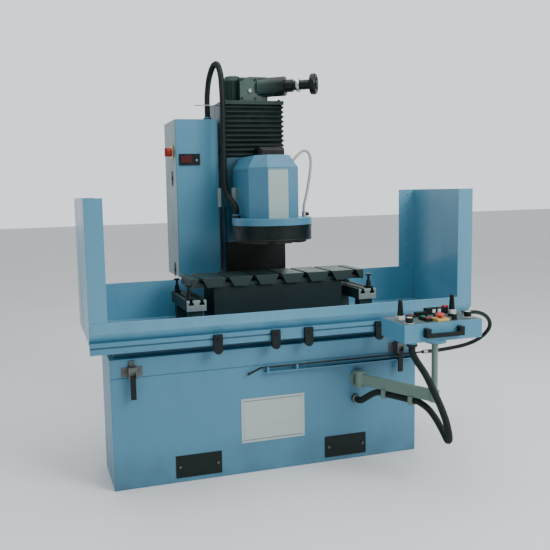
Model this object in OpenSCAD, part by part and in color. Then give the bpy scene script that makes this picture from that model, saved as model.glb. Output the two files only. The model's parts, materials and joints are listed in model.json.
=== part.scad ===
// Vertical-spindle surface grinder for engine heads and blocks.
// Origin: on the floor, straight below the spindle axis. +X right, +Y back, +Z up.

/* [Base] */
// Length of the bed cabinet along the table travel
base_l = 1770; // [1700:5:1900]
// Depth of the bed cabinet
base_d = 380; // [360:5:420]
// Height of the bed cabinet
base_h = 700; // [650:5:740]
// Distance from the spindle to the middle of the bed, to the left
base_shift = 115; // [60:5:160]
// Wall of the welded base
base_wall = 10; // [6:1:14]
// Width and height of the fork-pocket covers
cover_w = 255; // [200:5:300]
cover_h = 122; // [90:2:140]

/* [Tray] */
// Length of the travelling splash tray
tray_l = 2200; // [2000:10:2400]
// Depth of the tray from front plate to back wall
tray_d = 620; // [600:5:680]
// Sheet thickness of the tray and splash walls
sheet_t = 6; // [4:0.5:8]
// Height of the splash walls at both ends, above the floor
wall_top = 1528; // [1400:2:1700]
// Height of the tray's back wall, above the floor
back_top = 1024; // [960:2:1060]
// Height of the tray's front plate, above the floor
front_top = 905; // [880:1:930]
// Width of the splash walls' front and rear returns
return_front = 94; // [60:1:120]
return_rear = 115; // [60:1:150]
// Width of a trip dog
dog_w = 48; // [36:1:60]

/* [Work table] */
// Length of the slotted work table
table_l = 1040; // [900:5:1060]
// Depth of the slotted work table
table_d = 260; // [220:2:300]
// Thickness of the table slab
slab_t = 54; // [48:1:70]
// Spacing of the cross T-slots
slot_pitch = 155; // [140:1:160]
// Neck width of the T-slots
slot_w = 18; // [14:1:22]

/* [Column and head] */
// Width of the column
col_w = 388; // [340:2:420]
// Depth of the column
col_d = 360; // [320:5:420]
// Height of the column's top plate, above the floor
col_top = 2090; // [1990:5:2150]
// Outer radius of the round splash plate over the wheel
plate_r = 230; // [215:1:240]
// Height of the wheel guard ring
guard_h = 86; // [60:1:96]
// Half width of the head cowl
cowl_w = 150; // [140:1:160]
// Outer radius of the grinding segments
wheel_r = 200; // [180:1:208]
// Radius of the spindle at its bearings
spindle_r = 30; // [24:0.5:34]
// Radius of the feed screw
screw_r = 16; // [12:0.5:20]

/* [Cabinet] */
// Width, depth and height of the electrical cabinet
cab_w = 267; // [240:1:280]
cab_d = 325; // [280:1:360]
cab_h = 960; // [860:5:1000]

/* [Controls] */
// Width, depth and height of the control box
box_w = 445; // [400:5:460]
box_d = 230; // [200:5:250]
box_h = 95; // [80:1:110]
// Radius of the control arm's upright post
post_r = 16; // [12:1:20]

/* [Hidden] */
$fn = 48;
fit = 0.05;                       // running clearance on a radius
slip = 0.3;                       // clear gap between loose faces
// bed cabinet
base_y0 = -290;
base_x0 = -base_shift - base_l / 2;
base_x1 = base_x0 + base_l;
panel_t = 4;
panel_top = 600;
way_w = 60;
way_h = 65;
way_y = [base_y0 + 85, base_y0 + base_d - 85];
// tray
tray_y0 = -350;
tray_y1 = tray_y0 + tray_d;
tray_z = base_h + 97;             // underside of the tray floor
floor_z = tray_z + sheet_t;       // upper face of the tray floor
lip_in = 38;                      // how far the front slopes in below the plate
plate_z = front_top - 54;
rail_y = tray_y0 + 5;
rail_z0 = 744;
rail_z1 = 804;
rail_t = 12;
groove_z = 778;
groove_w = 8;
groove_end = [-114, 76];
dog_t = 20;
dog_h = 104;
dog_top = 802;
dog_x = [-438, -116, 74, 500];
runner_l = 1500;
// work table
slab_z = 1018;
table_z = slab_z + slab_t;
slot_n = 7;
carriage_l = 780;
rail_x = 510;
rail_w = 110;
rail_h = 60;
rail_l = 400;
rail_z = 905;
// column and head
col_y0 = 320;
col_y1 = col_y0 + col_d;
col_wall = 16;
guide_x = 130;
guide_w = 30;
guide_h = 20;
screw_y = col_y0 + 40;
head_z0 = 1235;
head_z1 = 1748;
slide_y0 = 266;
slide_y1 = 298;
plate_z0 = 1350;
plate_z1 = 1388;
cowl_top = 1745;
cowl_shoulder = 1675;
cowl_front = -125;
cowl_half = 65;
cowl_side_y = -45;
cowl_t = 3;
guard_t = 8;
housing_r = 70;
// feed drive on the column
drive_z = col_top + 82;
hw_angle = 35;
hw_r = 62;
hw_shaft_r = 12;
// cabinet
cab_x1 = -215;
cab_x0 = cab_x1 - cab_w;
cab_y0 = 350;
cab_z0 = 1025;
// control arm and box
pivot = [395, -330, 475];
post = [600, -748];
box_x0 = 395;
box_y0 = -800;
box_z0 = 774;
// colours
paint = [0.44, 0.62, 0.71];
shade = [0.30, 0.48, 0.57];
dark = [0.06, 0.14, 0.13];
iron = [0.24, 0.32, 0.30];
steel = [0.70, 0.72, 0.72];
beige = [0.62, 0.66, 0.60];

// ---- helpers -------------------------------------------------------------

// A box given by its two opposite corners.
module block(a, b) {
  translate(a) cube(b - a);
}

// A cylinder along X, starting at p.
module rod_x(p, r, l) {
  translate(p) rotate([0, 90, 0]) cylinder(r = r, h = l);
}

// A cylinder along Y, starting at p and running back.
module rod_y(p, r, l) {
  translate(p) rotate([-90, 0, 0]) cylinder(r = r, h = l);
}

// A small hexagon-socket screw head standing on a face that looks to the front.
module screw_front(p, r = 5, h = 3) {
  translate(p) rotate([90, 0, 0]) difference() {
    cylinder(r = r, h = h, $fn = 24);
    translate([0, 0, h - 1.5]) cylinder(r = r * 0.5, h = 2, $fn = 6);
  }
}

// Points of a smooth curve through a route (Catmull-Rom), n steps a span.
function spline(p, n) = let (m = len(p) - 1)
  [for (i = [0:m - 1], k = [0:n - 1]) let (
      a = i == 0 ? 2 * p[0] - p[1] : p[i - 1], b = p[i], c = p[i + 1],
      d = i == m - 1 ? 2 * p[m] - p[m - 1] : p[i + 2], t = k / n)
    0.5 * (2 * b + (c - a) * t + (2 * a - 5 * b + 4 * c - d) * t * t
      + (3 * b - a - 3 * c + d) * t * t * t),
    p[m]];
function unit(v) = v / norm(v);

// A round tube of radius r swept along points; side is never along the route.
module tube(p, r, side, n = 10) {
  m = len(p);
  rings = [for (i = [0:m - 1]) let (
      t = unit(i == 0 ? p[1] - p[0] : i == m - 1 ? p[i] - p[i - 1] : p[i + 1] - p[i - 1]),
      u = unit(cross(t, side)), v = cross(t, u))
    for (k = [0:n - 1]) p[i] + r * (cos(360 * k / n) * u + sin(360 * k / n) * v)];
  polyhedron(rings, concat(
    [[for (k = [0:n - 1]) n - 1 - k]],
    [for (i = [0:m - 2], k = [0:n - 1]) let (a = i * n + k, b = i * n + (k + 1) % n)
      [a, b, b + n, a + n]],
    [[for (k = [0:n - 1]) (m - 1) * n + k]]));
}

// An outline in the Y-Z plane drawn out along X.
module prism_x(points, x0, l) {
  translate([x0, 0, 0]) rotate([90, 0, 90]) linear_extrude(l) polygon(points);
}

// ---- bed cabinet ---------------------------------------------------------

// Welded bed with the rear foot that carries the column, and two slideways on top.
module base_frame() color(paint) {
  difference() {
    union() {
      block([base_x0, base_y0 + panel_t, 0], [base_x1, base_y0 + base_d, base_h]);
      block([base_x0, base_y0, panel_top], [base_x1, base_y0 + base_d, base_h]);
      block([-col_w / 2, base_y0 + base_d / 2, 0], [col_w / 2, col_y1, base_h]);
    }
    block([base_x0 + base_wall, base_y0 + panel_t + base_wall, base_wall],
      [base_x1 - base_wall, base_y0 + base_d - base_wall, base_h - 2 * base_wall]);
    block([base_wall - col_w / 2, base_y0 + base_d / 2, base_wall],
      [col_w / 2 - base_wall, col_y1 - base_wall, base_h - 2 * base_wall]);
  }
  for (y = way_y) block([base_x0 + 30, y - way_w / 2, base_h],
    [base_x1 - 30, y + way_w / 2, base_h + way_h]);
}

// Access panel that closes the whole front under the latches.
module front_panel() color(paint)
  block([base_x0, base_y0, 0], [base_x1, base_y0 + panel_t, panel_top - 2]);

cover_x = [-543, 320];
cover_z = 25;
cover_t = 3;
// Screwed covers over the two fork pockets.
module fork_covers() color(dark) for (x = cover_x) {
  block([x - cover_w / 2, base_y0 - cover_t, cover_z], [x + cover_w / 2, base_y0, cover_z + cover_h]);
  for (s = [-1, 1])
    screw_front([x + s * (cover_w / 2 - 22), base_y0 - cover_t, cover_z + cover_h / 2], 8);
}

// Plain plate on the middle of the front.
module badge_plate() color([0.84, 0.84, 0.78])
  block([-base_shift - 185, base_y0 - 2, 172], [-base_shift + 185, base_y0, 419]);

latch_x = [-887, 650];
latch_z = 628;
latch_t = 46;
hinge_z = latch_z - 18;
hinge_y = base_y0 - 38;
// Bases and catches of the two toggle latches that hold the panel.
module latch_plates() color(steel) for (x = latch_x) {
  difference() {
    union() {
      block([x - 55, base_y0 - 3, latch_z - 20], [x + 55, base_y0, latch_z + 30]);
      block([x - 22, base_y0 - latch_t, latch_z - 26], [x + 22, base_y0, latch_z + 34]);
    }
    block([x - 16, base_y0 - latch_t - 1, latch_z - 30], [x + 16, base_y0 - 30, latch_z + 12]);
  }
  rod_x([x - 22, hinge_y, hinge_z], 3, 44);
  block([x - 14, base_y0 - 8, latch_z + 34], [x + 14, base_y0, latch_z + 62]);
  for (s = [-1, 1]) screw_front([x + s * 40, base_y0 - 3, latch_z + 6], 6);
}

// Lever of one toggle latch, hanging down from its pin.
module latch_lever(x) color(dark) difference() {
  union() {
    rod_x([x - 14, hinge_y, hinge_z], 5.2, 28);
    block([x - 14, hinge_y - 6, latch_z - 135], [x + 14, hinge_y + 4, hinge_z]);
  }
  rod_x([x - 15, hinge_y, hinge_z], 3 + fit, 30);
}
module latch_left() latch_lever(latch_x[0]);
module latch_right() latch_lever(latch_x[1]);

lance_y = base_y0 - 22;
lance_z = 590;
lance_r = 5;
lance_x = [-190, 800];
ledge_z = 560;
// Ledge with three cradles in which the wash-down lance lies.
module lance_rest() color(paint) {
  block([-162, lance_y - 10, ledge_z], [744, base_y0, ledge_z + 6]);
  for (x = [-150, 20, 730]) difference() {
    block([x - 5, lance_y - 9, ledge_z + 6], [x + 5, lance_y + 9, lance_z + 4]);
    rod_x([x - 6, lance_y, lance_z], lance_r + 0.1, 12);
    block([x - 6, lance_y - lance_r - 0.1, lance_z], [x + 6, lance_y + lance_r + 0.1, lance_z + 9]);
  }
}

// Hand wash-down lance: bent nozzle, long tube and the ferrule that takes the hose.
module lance() color(dark) {
  rod_x([lance_x[0], lance_y, lance_z], lance_r, lance_x[1] - lance_x[0]);
  translate([lance_x[0], lance_y, lance_z]) {
    sphere(lance_r + 0.6, $fn = 32);
    rotate([0, -112, 0]) cylinder(r = lance_r, h = 78);
  }
  rod_x([lance_x[1], lance_y, lance_z], 9, 32);
}

hose_r = 11;
hose_fit = [868, -540, 850];
hose_route = [[888, -540, 850], [905, -540, 850], [925, -540, 850], [985, -530, 848], [1040, -515, 836],
  [1090, -498, 812], [1128, -480, 776], [1142, -460, 735], [1130, -436, 694], [1098, -408, 656],
  [1052, -378, 628], [998, -350, 610], [940, -328, 598], [892, -314, 591], [868, lance_y, lance_z],
  [850, lance_y, lance_z], [832, lance_y, lance_z]];
// Free hose from the bulkhead fitting behind the control box to the lance.
module lance_hose() color(dark) tube(spline(hose_route, 4), hose_r, [0.35, 1, 0.2], 10);

// ---- travelling tray -----------------------------------------------------

slope_y = function (z) tray_y0 + lip_in * (plate_z - z) / (plate_z - tray_z);
nut_x = -base_shift;
screw_z = base_h + 48;
screw_y0 = (way_y[0] + way_y[1]) / 2;
motor_r = 42;
// Splash tray folded from sheet, with the runners and the drive nut under it.
module tray() color(paint) {
  prism_x([[tray_y0, front_top], [tray_y0, plate_z], [tray_y0 + lip_in, tray_z],
    [tray_y1, tray_z], [tray_y1, back_top], [tray_y1 - sheet_t, back_top],
    [tray_y1 - sheet_t, floor_z], [tray_y0 + lip_in + 0.55 * sheet_t, floor_z],
    [tray_y0 + sheet_t, plate_z + 0.3 * sheet_t], [tray_y0 + sheet_t, front_top]],
    sheet_t - tray_l / 2, tray_l - 2 * sheet_t);
  for (y = way_y) difference() {
    block([-runner_l / 2, y - way_w / 2 - 18, base_h + 45], [runner_l / 2, y + way_w / 2 + 18, tray_z]);
    block([-runner_l / 2 - 1, y - way_w / 2 - fit, base_h],
      [runner_l / 2 + 1, y + way_w / 2 + fit, base_h + way_h + fit]);
  }
  difference() {
    block([nut_x - 40, screw_y0 - 32, screw_z - 32], [nut_x + 40, screw_y0 + 32, tray_z]);
    rod_x([nut_x - 41, screw_y0, screw_z], screw_r + fit, 82);
  }
}

// Tall splash walls bolted to both ends of the tray, with returns front and rear.
module splash_walls() color(paint) for (s = [-1, 1]) mirror([s < 0 ? 1 : 0, 0, 0]) {
  x = tray_l / 2;
  prism_x([[tray_y0, plate_z], [tray_y0, wall_top], [tray_y1, wall_top], [tray_y1, tray_z],
    [tray_y0 + lip_in, tray_z]], x - sheet_t, sheet_t);
  block([x - return_front, tray_y0, front_top], [x - sheet_t, tray_y0 + sheet_t, wall_top]);
  block([x - return_rear, tray_y1 - sheet_t, back_top], [x - sheet_t, tray_y1, wall_top]);
}

// Rail along the tray's front lip, with a T-groove that holds the trip dogs.
module dog_rail() color(paint) difference() {
  prism_x([[rail_y, rail_z0], [rail_y, rail_z1], [slope_y(rail_z1), rail_z1],
    [tray_y0 + lip_in, tray_z], [tray_y0 + lip_in + 30, tray_z],
    [tray_y0 + lip_in + 30, tray_z - 6], [rail_y + rail_t, tray_z - 6],
    [rail_y + rail_t, rail_z0]], -tray_l / 2, tray_l);
  for (span = [[-tray_l / 2 - 1, groove_end[0]], [groove_end[1], tray_l / 2 + 1]]) {
    block([span[0], rail_y - 1, groove_z - groove_w / 2],
      [span[1], rail_y + 4.5, groove_z + groove_w / 2]);
    block([span[0], rail_y + 4, groove_z - groove_w], [span[1], rail_y + 9, groove_z + groove_w]);
  }
}

// One trip dog: a rounded block with a tongue in the groove and a clamp screw.
module dog(x, tongue) color(dark) translate([x, 0, 0]) {
  y = rail_y - fit;
  r = dog_w / 2;
  block([-r, y - dog_t, dog_top - dog_h + r], [r, y, dog_top]);
  rod_y([0, y - dog_t, dog_top - dog_h + r], r, dog_t);
  block([tongue - 10, y - 1, groove_z - groove_w / 2 + 0.2],
    [tongue + 10, rail_y + 5, groove_z + groove_w / 2 - 0.2]);
  block([tongue - 10, rail_y + 4.8, groove_z - groove_w + 0.3],
    [tongue + 10, rail_y + 8.5, groove_z + groove_w - 0.3]);
  screw_front([0, y - dog_t, groove_z], 7, 5);
}
module dog_1() dog(dog_x[0], 0);
module dog_2() dog(dog_x[1], -13);
module dog_3() dog(dog_x[2], 13);
module dog_4() dog(dog_x[3], 0);

// ---- work table ----------------------------------------------------------

// Cast box between the tray floor and the table slab.
module carriage() color(iron) difference() {
  prism_x([[-118, floor_z], [-108, slab_z], [108, slab_z], [118, floor_z]],
    -carriage_l / 2, carriage_l);
  prism_x([[-98, floor_z - 1], [-90, slab_z - 20], [90, slab_z - 20], [98, floor_z - 1]],
    20 - carriage_l / 2, carriage_l - 40);
}

// Slotted slab on which the head or block is clamped.
module work_table() color(iron) difference() {
  block([-table_l / 2, -table_d / 2, slab_z], [table_l / 2, table_d / 2, table_z]);
  for (i = [0:slot_n - 1]) translate([(i - (slot_n - 1) / 2) * slot_pitch, 0, 0]) {
    block([-slot_w / 2, -table_d, table_z - 21], [slot_w / 2, table_d, table_z + 1]);
    block([-slot_w * 0.9, -table_d, table_z - 34], [slot_w * 0.9, table_d, table_z - 20]);
    for (s = [-1, 1]) translate([0, s * (table_d / 2 + 1), 0]) rotate([90, 0, 0])
      linear_extrude(52, center = true) polygon([[-slot_w / 2, table_z - 4], [slot_w / 2, table_z - 4],
        [slot_w / 2 + 28, slab_z - 1], [-slot_w / 2 - 28, slab_z - 1]]);
  }
}

// Two slotted cross bars on feet, one at each end of the table.
module cross_rails() color(steel) for (s = [-1, 1]) translate([s * rail_x, 0, 0]) {
  difference() {
    block([-rail_w / 2, -rail_l / 2, rail_z], [rail_w / 2, rail_l / 2, rail_z + rail_h]);
    for (d = [-1, 1]) translate([d * 30, 0, 0]) {
      block([-8, -rail_l, rail_z + rail_h - 15], [8, rail_l, rail_z + rail_h + 1]);
      block([-14, -rail_l, rail_z + rail_h - 28], [14, rail_l, rail_z + rail_h - 14]);
    }
  }
  for (y = [-150, 150]) block([-40, y - 30, floor_z], [40, y + 30, rail_z]);
}

jack_y = 152;
// Four screw jacks standing on the cross bars beside the table's ends.
module work_jacks() color(dark) for (s = [-1, 1], t = [-1, 1])
  translate([s * (rail_x + 31), t * jack_y, rail_z + rail_h]) {
    translate([-18, -22, 0]) cube([36, 44, 10]);
    rotate_extrude() polygon([[0, 2], [17, 2], [11, 44], [7, 44], [7, 72], [17, 72], [17, 81], [0, 81]]);
  }

// ---- traverse drive, between the bed and the tray ------------------------

bearing_x = [base_x0 + 260, base_x1 - 60];
// Gear motor and the two bearing blocks of the traverse screw.
module traverse_motor() color(dark) {
  rod_x([base_x0 + 40, screw_y0, screw_z], motor_r, 200);
  block([base_x0 + 50, screw_y0 - 36, base_h], [base_x0 + 230, screw_y0 + 36, screw_z - 12]);
  block([base_x0 + 232, screw_y0 - 40, base_h], [base_x0 + 240, screw_y0 + 40, screw_z + 40]);
  for (x = bearing_x) difference() {
    block([x - 20, screw_y0 - 34, base_h], [x + 20, screw_y0 + 34, screw_z + 34]);
    rod_x([x - 21, screw_y0, screw_z], screw_r + fit, 42);
  }
}

// Ball screw that drives the tray along the bed.
module traverse_screw() color(steel)
  rod_x([base_x0 + 240.5, screw_y0, screw_z], screw_r, bearing_x[1] + 20 - base_x0 - 240.5);

// ---- column --------------------------------------------------------------

top_t = 23;
// Box column with its guide rails, screw bearings and top plate.
module column() color(shade) {
  difference() {
    block([-col_w / 2, col_y0, base_h], [col_w / 2, col_y1, col_top - top_t]);
    block([col_wall - col_w / 2, col_y0 + col_wall, base_h + col_wall],
      [col_w / 2 - col_wall, col_y1 - col_wall, col_top - top_t - col_wall]);
    block([-32, col_y0 - 1, 900], [32, col_y0 + col_wall + 1, 1990]);
    translate([0, screw_y, 1000]) cylinder(r = screw_r + fit, h = 2000);
  }
  difference() {
    block([col_wall - col_w / 2, col_y0 + col_wall, 820], [col_w / 2 - col_wall, screw_y + 60, 845]);
    translate([0, screw_y, 800]) cylinder(r = screw_r + fit, h = 60);
  }
  for (s = [-1, 1]) block([s * guide_x - guide_w / 2, col_y0 - guide_h, base_h + 20],
    [s * guide_x + guide_w / 2, col_y0, col_top - top_t]);
  difference() {
    block([-col_w / 2, col_y0 - 40, col_top - top_t], [col_w / 2, col_y1, col_top]);
    translate([0, screw_y, col_top - top_t - 1]) cylinder(r = screw_r + fit, h = top_t + 2);
  }
}

pleat_n = 11;
bellows_w = 12;
bellows_y0 = col_y0 - 40;
// Folded cover over the guide rails above the head; it closes up as the head rises.
module bellows() color(dark) {
  z0 = head_z1;
  pitch = (col_top - top_t - z0) / pleat_n;
  for (i = [0:pleat_n - 1], k = [0, 1]) {
    d = k * 7;
    difference() {
      block([d - col_w / 2, bellows_y0 + d, z0 + (i + k / 2) * pitch],
        [col_w / 2 - d, col_y0 - 1, z0 + (i + (k + 1) / 2) * pitch]);
      block([8 + bellows_w - col_w / 2, bellows_y0 + 8 + bellows_w / 2, z0 - 1],
        [col_w / 2 - 8 - bellows_w, col_y0, col_top]);
    }
  }
}

// ---- head feed drive on the column top -----------------------------------

gear = [0, screw_y, drive_z];
gear_r = 20;
cavity_r = 24;
body_s = [62, 228];
dial_s = 276;
sleeve_s = 376;
wheel_s = 424;
// Puts children, drawn along +X, on the inclined handwheel axis.
module feed_axis() {
  translate(gear) rotate([0, 0, -hw_angle]) children();
}

// Feed motor, bevel gear case and the sleeve of the handwheel shaft.
module feed_drive() color(dark) {
  translate([-98, 405, col_top]) {
    cylinder(r = 64, h = 128);
    translate([0, 0, 128]) cylinder(r1 = 64, r2 = 44, h = 30);
    cylinder(r = 66, h = 10);
  }
  difference() {
    union() {
      block([-83, col_y0 - 24, col_top], [28, screw_y - 26, col_top + 140]);
      block([-28, col_y0 - 24, col_top], [95, screw_y + 60, col_top + 144]);
      feed_axis() {
        rod_x([body_s[0], 0, 0], 58, body_s[1] - body_s[0]);
        rod_x([body_s[1], 0, 0], 38, dial_s - body_s[1]);
        rod_x([dial_s, 0, 0], 29, sleeve_s - dial_s);
      }
    }
    translate([0, screw_y, col_top - 1]) cylinder(r = screw_r + fit, h = 20);
    translate([0, screw_y, col_top + 16]) cylinder(r = cavity_r, h = drive_z - col_top + 12);
    feed_axis() rod_x([0, 0, 0], hw_shaft_r + fit, sleeve_s + 1);
    feed_axis() rod_x([0, 0, 0], cavity_r, 30);
  }
}

// Vertical feed screw with the bevel gear on its upper end.
module feed_screw() color(steel) translate([0, screw_y, 0]) {
  translate([0, 0, 818]) cylinder(r = screw_r, h = col_top + 12 - 818);
  translate([0, 0, col_top]) cylinder(r = 9, h = drive_z - col_top - gear_r + 2);
  translate([0, 0, drive_z - gear_r]) cylinder(r1 = gear_r - slip, r2 = 12 - slip, h = 8);
}

// Handwheel, its shaft and the bevel pinion that meets the screw's gear.
module handwheel() color(dark) feed_axis() {
  rod_x([12, 0, 0], 8, 16);
  translate([12, 0, 0]) rotate([0, 90, 0]) cylinder(r1 = 12, r2 = gear_r, h = 8);
  rod_x([20, 0, 0], hw_shaft_r, wheel_s - 20);
  translate([sleeve_s + 1, 0, 0]) rotate([0, 90, 0]) rotate_extrude() polygon([[0, 0], [30, 0],
    [hw_r - 12, 8], [hw_r - 4, 6], [hw_r, 14], [hw_r, 34], [hw_r - 6, 42], [hw_r - 16, 40],
    [24, 26], [20, 44], [0, 44]]);
}

// ---- head ----------------------------------------------------------------

casting_z1 = 1430;
casting_r = 112;
nut_z = [1440, 1520];
// Slide plate with guide carriages and feed nut, and the casting that holds the spindle.
module head_slide() color(shade) {
  difference() {
    union() {
      block([-185, slide_y0, head_z0], [185, slide_y1, head_z1]);
      translate([0, 0, plate_z1]) cylinder(r = casting_r, h = casting_z1 - plate_z1);
      block([-casting_r, 0, plate_z1], [casting_r, slide_y0 + 1, casting_z1]);
      for (s = [-1, 1]) block([s * 118 - 8, 118, plate_z1], [s * 118 + 8, slide_y0 + 1, 1640]);
      block([-26, slide_y1 - 1, nut_z[0]], [26, screw_y + 32, nut_z[1]]);
      for (s = [-1, 1], z = [1260, 1610])
        block([s * guide_x - 27, slide_y1 - 1, z], [s * guide_x + 27, col_y0 - 2, z + 110]);
    }
    translate([0, 0, plate_z1 - 1]) cylinder(r = housing_r, h = casting_z1);
    translate([0, screw_y, nut_z[0] - 1]) cylinder(r = screw_r + fit, h = 82);
    for (s = [-1, 1]) block([s * guide_x - guide_w / 2 - fit, col_y0 - guide_h - fit, head_z0],
      [s * guide_x + guide_w / 2 + fit, col_y0, head_z1]);
  }
  block([-224, slide_y0 + 4, 1450], [-185, slide_y0 + 10, 1570]);
}

// Smooth cover that hangs from the head and hides the guide rails below it.
module way_cover() color(dark) difference() {
  block([-192, slide_y0 + 16, 870], [192, col_y0 - 2, head_z0]);
  block([-188, slide_y0 + 20, 860], [188, col_y0, head_z0 + 1]);
}

function cowl_outline(w, half, front, side, rear) =
  [[-half, front], [half, front], [w, side], [w, rear], [-w, rear], [-w, side]];
// The cowl's outer form, or the hollow inside it, d smaller all round.
module cowl_form(d) {
  rear = slide_y0 + (d > 0 ? 1 : 0);
  wall = cowl_outline(cowl_w - d, cowl_half - d * 0.4, cowl_front + d, cowl_side_y + d * 0.4, rear);
  roof = cowl_outline(cowl_w - 44 - d, cowl_half - 14, cowl_front + 42 + d, cowl_side_y + 22, rear);
  translate([0, 0, plate_z1 - (d > 0 ? 1 : 0)])
    linear_extrude(cowl_shoulder - plate_z1 + (d > 0 ? 1 : 0)) polygon(wall);
  hull() {
    translate([0, 0, cowl_shoulder - 0.01]) linear_extrude(0.01) polygon(wall);
    translate([0, 0, cowl_top - d - 0.01]) linear_extrude(0.01) polygon(roof);
  }
}

cowl_fit = [128, 10, 1709.2];
// Folded sheet cowl over the spindle motor, with the coolant line's socket.
module cowl() color(paint) {
  difference() {
    cowl_form(0);
    cowl_form(cowl_t);
  }
  translate(cowl_fit) rotate([0, 57.3, 0]) cylinder(r = 12, h = 10);
}

// Motor that turns the spindle directly.
module spindle_motor() color(iron) difference() {
  translate([0, 0, casting_z1 + 12]) {
    cylinder(r = 104, h = 200);
    translate([0, 0, 200]) cylinder(r = 90, h = 40);
  }
  translate([0, 0, casting_z1]) cylinder(r = spindle_r + 6, h = 210);
}

// Flanged cartridge with the spindle's bearings.
module spindle_housing() color(steel) difference() {
  union() {
    translate([0, 0, 1316]) cylinder(r = housing_r - fit, h = casting_z1 - 1316);
    translate([0, 0, casting_z1]) cylinder(r = 96, h = 12);
  }
  for (z = [1315, casting_z1 - 18]) translate([0, 0, z]) cylinder(r = spindle_r + fit, h = 31);
  translate([0, 0, 1340]) cylinder(r = spindle_r + 12, h = 76);
}

// Round splash plate under the head casting.
module splash_plate() color(paint) {
  difference() {
    union() {
      translate([0, 0, plate_z1 - 10]) cylinder(r = plate_r, h = 10, $fn = 96);
      translate([0, 0, plate_z0]) cylinder(r = plate_r, h = plate_z1 - plate_z0, $fn = 96);
    }
    translate([0, 0, plate_z0 - 1]) cylinder(r = plate_r - 10, h = plate_z1 - plate_z0 - 9, $fn = 96);
    translate([0, 0, plate_z0]) cylinder(r = housing_r, h = 60);
  }
  translate([gland_b[0], gland_b[1], plate_z1]) cylinder(r = 24, h = gland_h);
}

// Ring guard round the wheel, with a rolled lower edge and fixing lugs.
module wheel_guard() color(dark) {
  difference() {
    translate([0, 0, plate_z0 - guard_h]) cylinder(r = plate_r - 2, h = guard_h, $fn = 96);
    translate([0, 0, plate_z0 - guard_h - 1])
      cylinder(r = plate_r - 2 - guard_t, h = guard_h + 2, $fn = 96);
  }
  for (a = [30:60:330]) rotate([0, 0, a])
    block([plate_r - 24, -14, plate_z0 - 12], [plate_r - 8, 14, plate_z0]);
}

holder_z = 1302;
segment_n = 8;
segment_h = 53;
// Spindle shaft with the segment holder at its lower end.
module spindle() color(steel) {
  translate([0, 0, holder_z]) cylinder(r = spindle_r, h = 330);
  translate([0, 0, holder_z]) cylinder(r = wheel_r + 4, h = 12, $fn = 96);
}

// Ring of abrasive segments.
module segments() color([0.55, 0.52, 0.48]) for (i = [0:segment_n - 1]) rotate([0, 0, i * 360 / segment_n])
  intersection() {
    translate([0, 0, holder_z - segment_h]) difference() {
      cylinder(r = wheel_r, h = segment_h, $fn = 96);
      translate([0, 0, -1]) cylinder(r = wheel_r - 46, h = segment_h + 2, $fn = 96);
    }
    translate([wheel_r / 2, -50, holder_z - segment_h - 1]) cube([wheel_r, 100, segment_h + 2]);
  }

tap = [206, 10];
line_route = [[137, 10, 1715], [148, 10, 1722], [176, 10, 1750], [206, 10, 1771],
  [236, 10, 1762], [252, 10, 1724], [251, 10, 1670], [241, 10, 1600], [227, 10, 1530],
  [213, 10, 1475], [207, 10, 1448], [206, 10, 1433], [206, 10, 1418]];
// Jointed coolant line from the cowl down to the tap.
module coolant_line() color([0.75, 0.76, 0.75]) tube(spline(line_route, 4), 8.5, [0, 1, 0], 10);

// Tap body on the splash plate.
module tap_body() color(steel) difference() {
  translate([tap[0], tap[1], plate_z1]) cylinder(r = 12, h = 30);
  rod_x([tap[0] + 4, tap[1], plate_z1 + 14], 4 + fit, 9);
}

// Knob of the coolant tap.
module coolant_tap() color(dark) {
  rod_x([tap[0] + 4.5, tap[1], plate_z1 + 14], 4, 12);
  rod_x([tap[0] + 13, tap[1], plate_z1 + 14], 11, 16);
}

gland_a = [-245, 470];
gland_b = [-190, 78];
gland_h = 22;
conduit_r = 18;
cab_top = cab_z0 + cab_h;
conduit_route = [[-245, 470, cab_top + 24], [-245, 470, 2040], [-245, 470, 2070], [-245, 462, 2140], [-240, 435, 2230],
  [-228, 380, 2300], [-216, 320, 2306], [-210, 272, 2240], [-210, 250, 2150], [-211, 240, 2040],
  [-213, 236, 1920], [-215, 233, 1800], [-216, 230, 1690], [-216, 218, 1600], [-212, 190, 1530],
  [-202, 130, 1490], [-193, 90, 1460], [-190, 78, 1440], [-190, 78, 1425],
  [-190, 78, plate_z1 + gland_h]];
// Corrugated conduit from the cabinet, over the top and down to the head.
module head_conduit() color(dark) {
  tube(spline(conduit_route, 4), conduit_r, [1, 0.1, 0], 10);
}

// ---- electrical cabinet --------------------------------------------------

door_t = 4;
// Sheet cabinet hung on the column's left side, with its mounting board inside.
module cabinet() color(paint) {
  difference() {
    block([cab_x0 + door_t + slip, cab_y0, cab_z0], [cab_x1, cab_y0 + cab_d, cab_top]);
    block([cab_x0, cab_y0 + 3, cab_z0 + 3], [cab_x1 - 3, cab_y0 + cab_d - 3, cab_top - 3]);
  }
  for (z = [cab_z0 + 160, cab_top - 200])
    block([cab_x1, cab_y0 + 60, z], [-col_w / 2, cab_y0 + 150, z + 40]);
  block([cab_x1 - 14, cab_y0 + 30, cab_z0 + 60], [cab_x1 - 3, cab_y0 + cab_d - 30, cab_top - 60]);
  for (z = [cab_z0 + 140, cab_z0 + 360, cab_z0 + 580], y = [70, 160, 250])
    block([cab_x1 - 84, cab_y0 + y - 30, z], [cab_x1 - 14, cab_y0 + y + 25, z + 90]);
  translate([gland_a[0], gland_a[1], cab_top]) cylinder(r = 25, h = 24);
}

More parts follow.
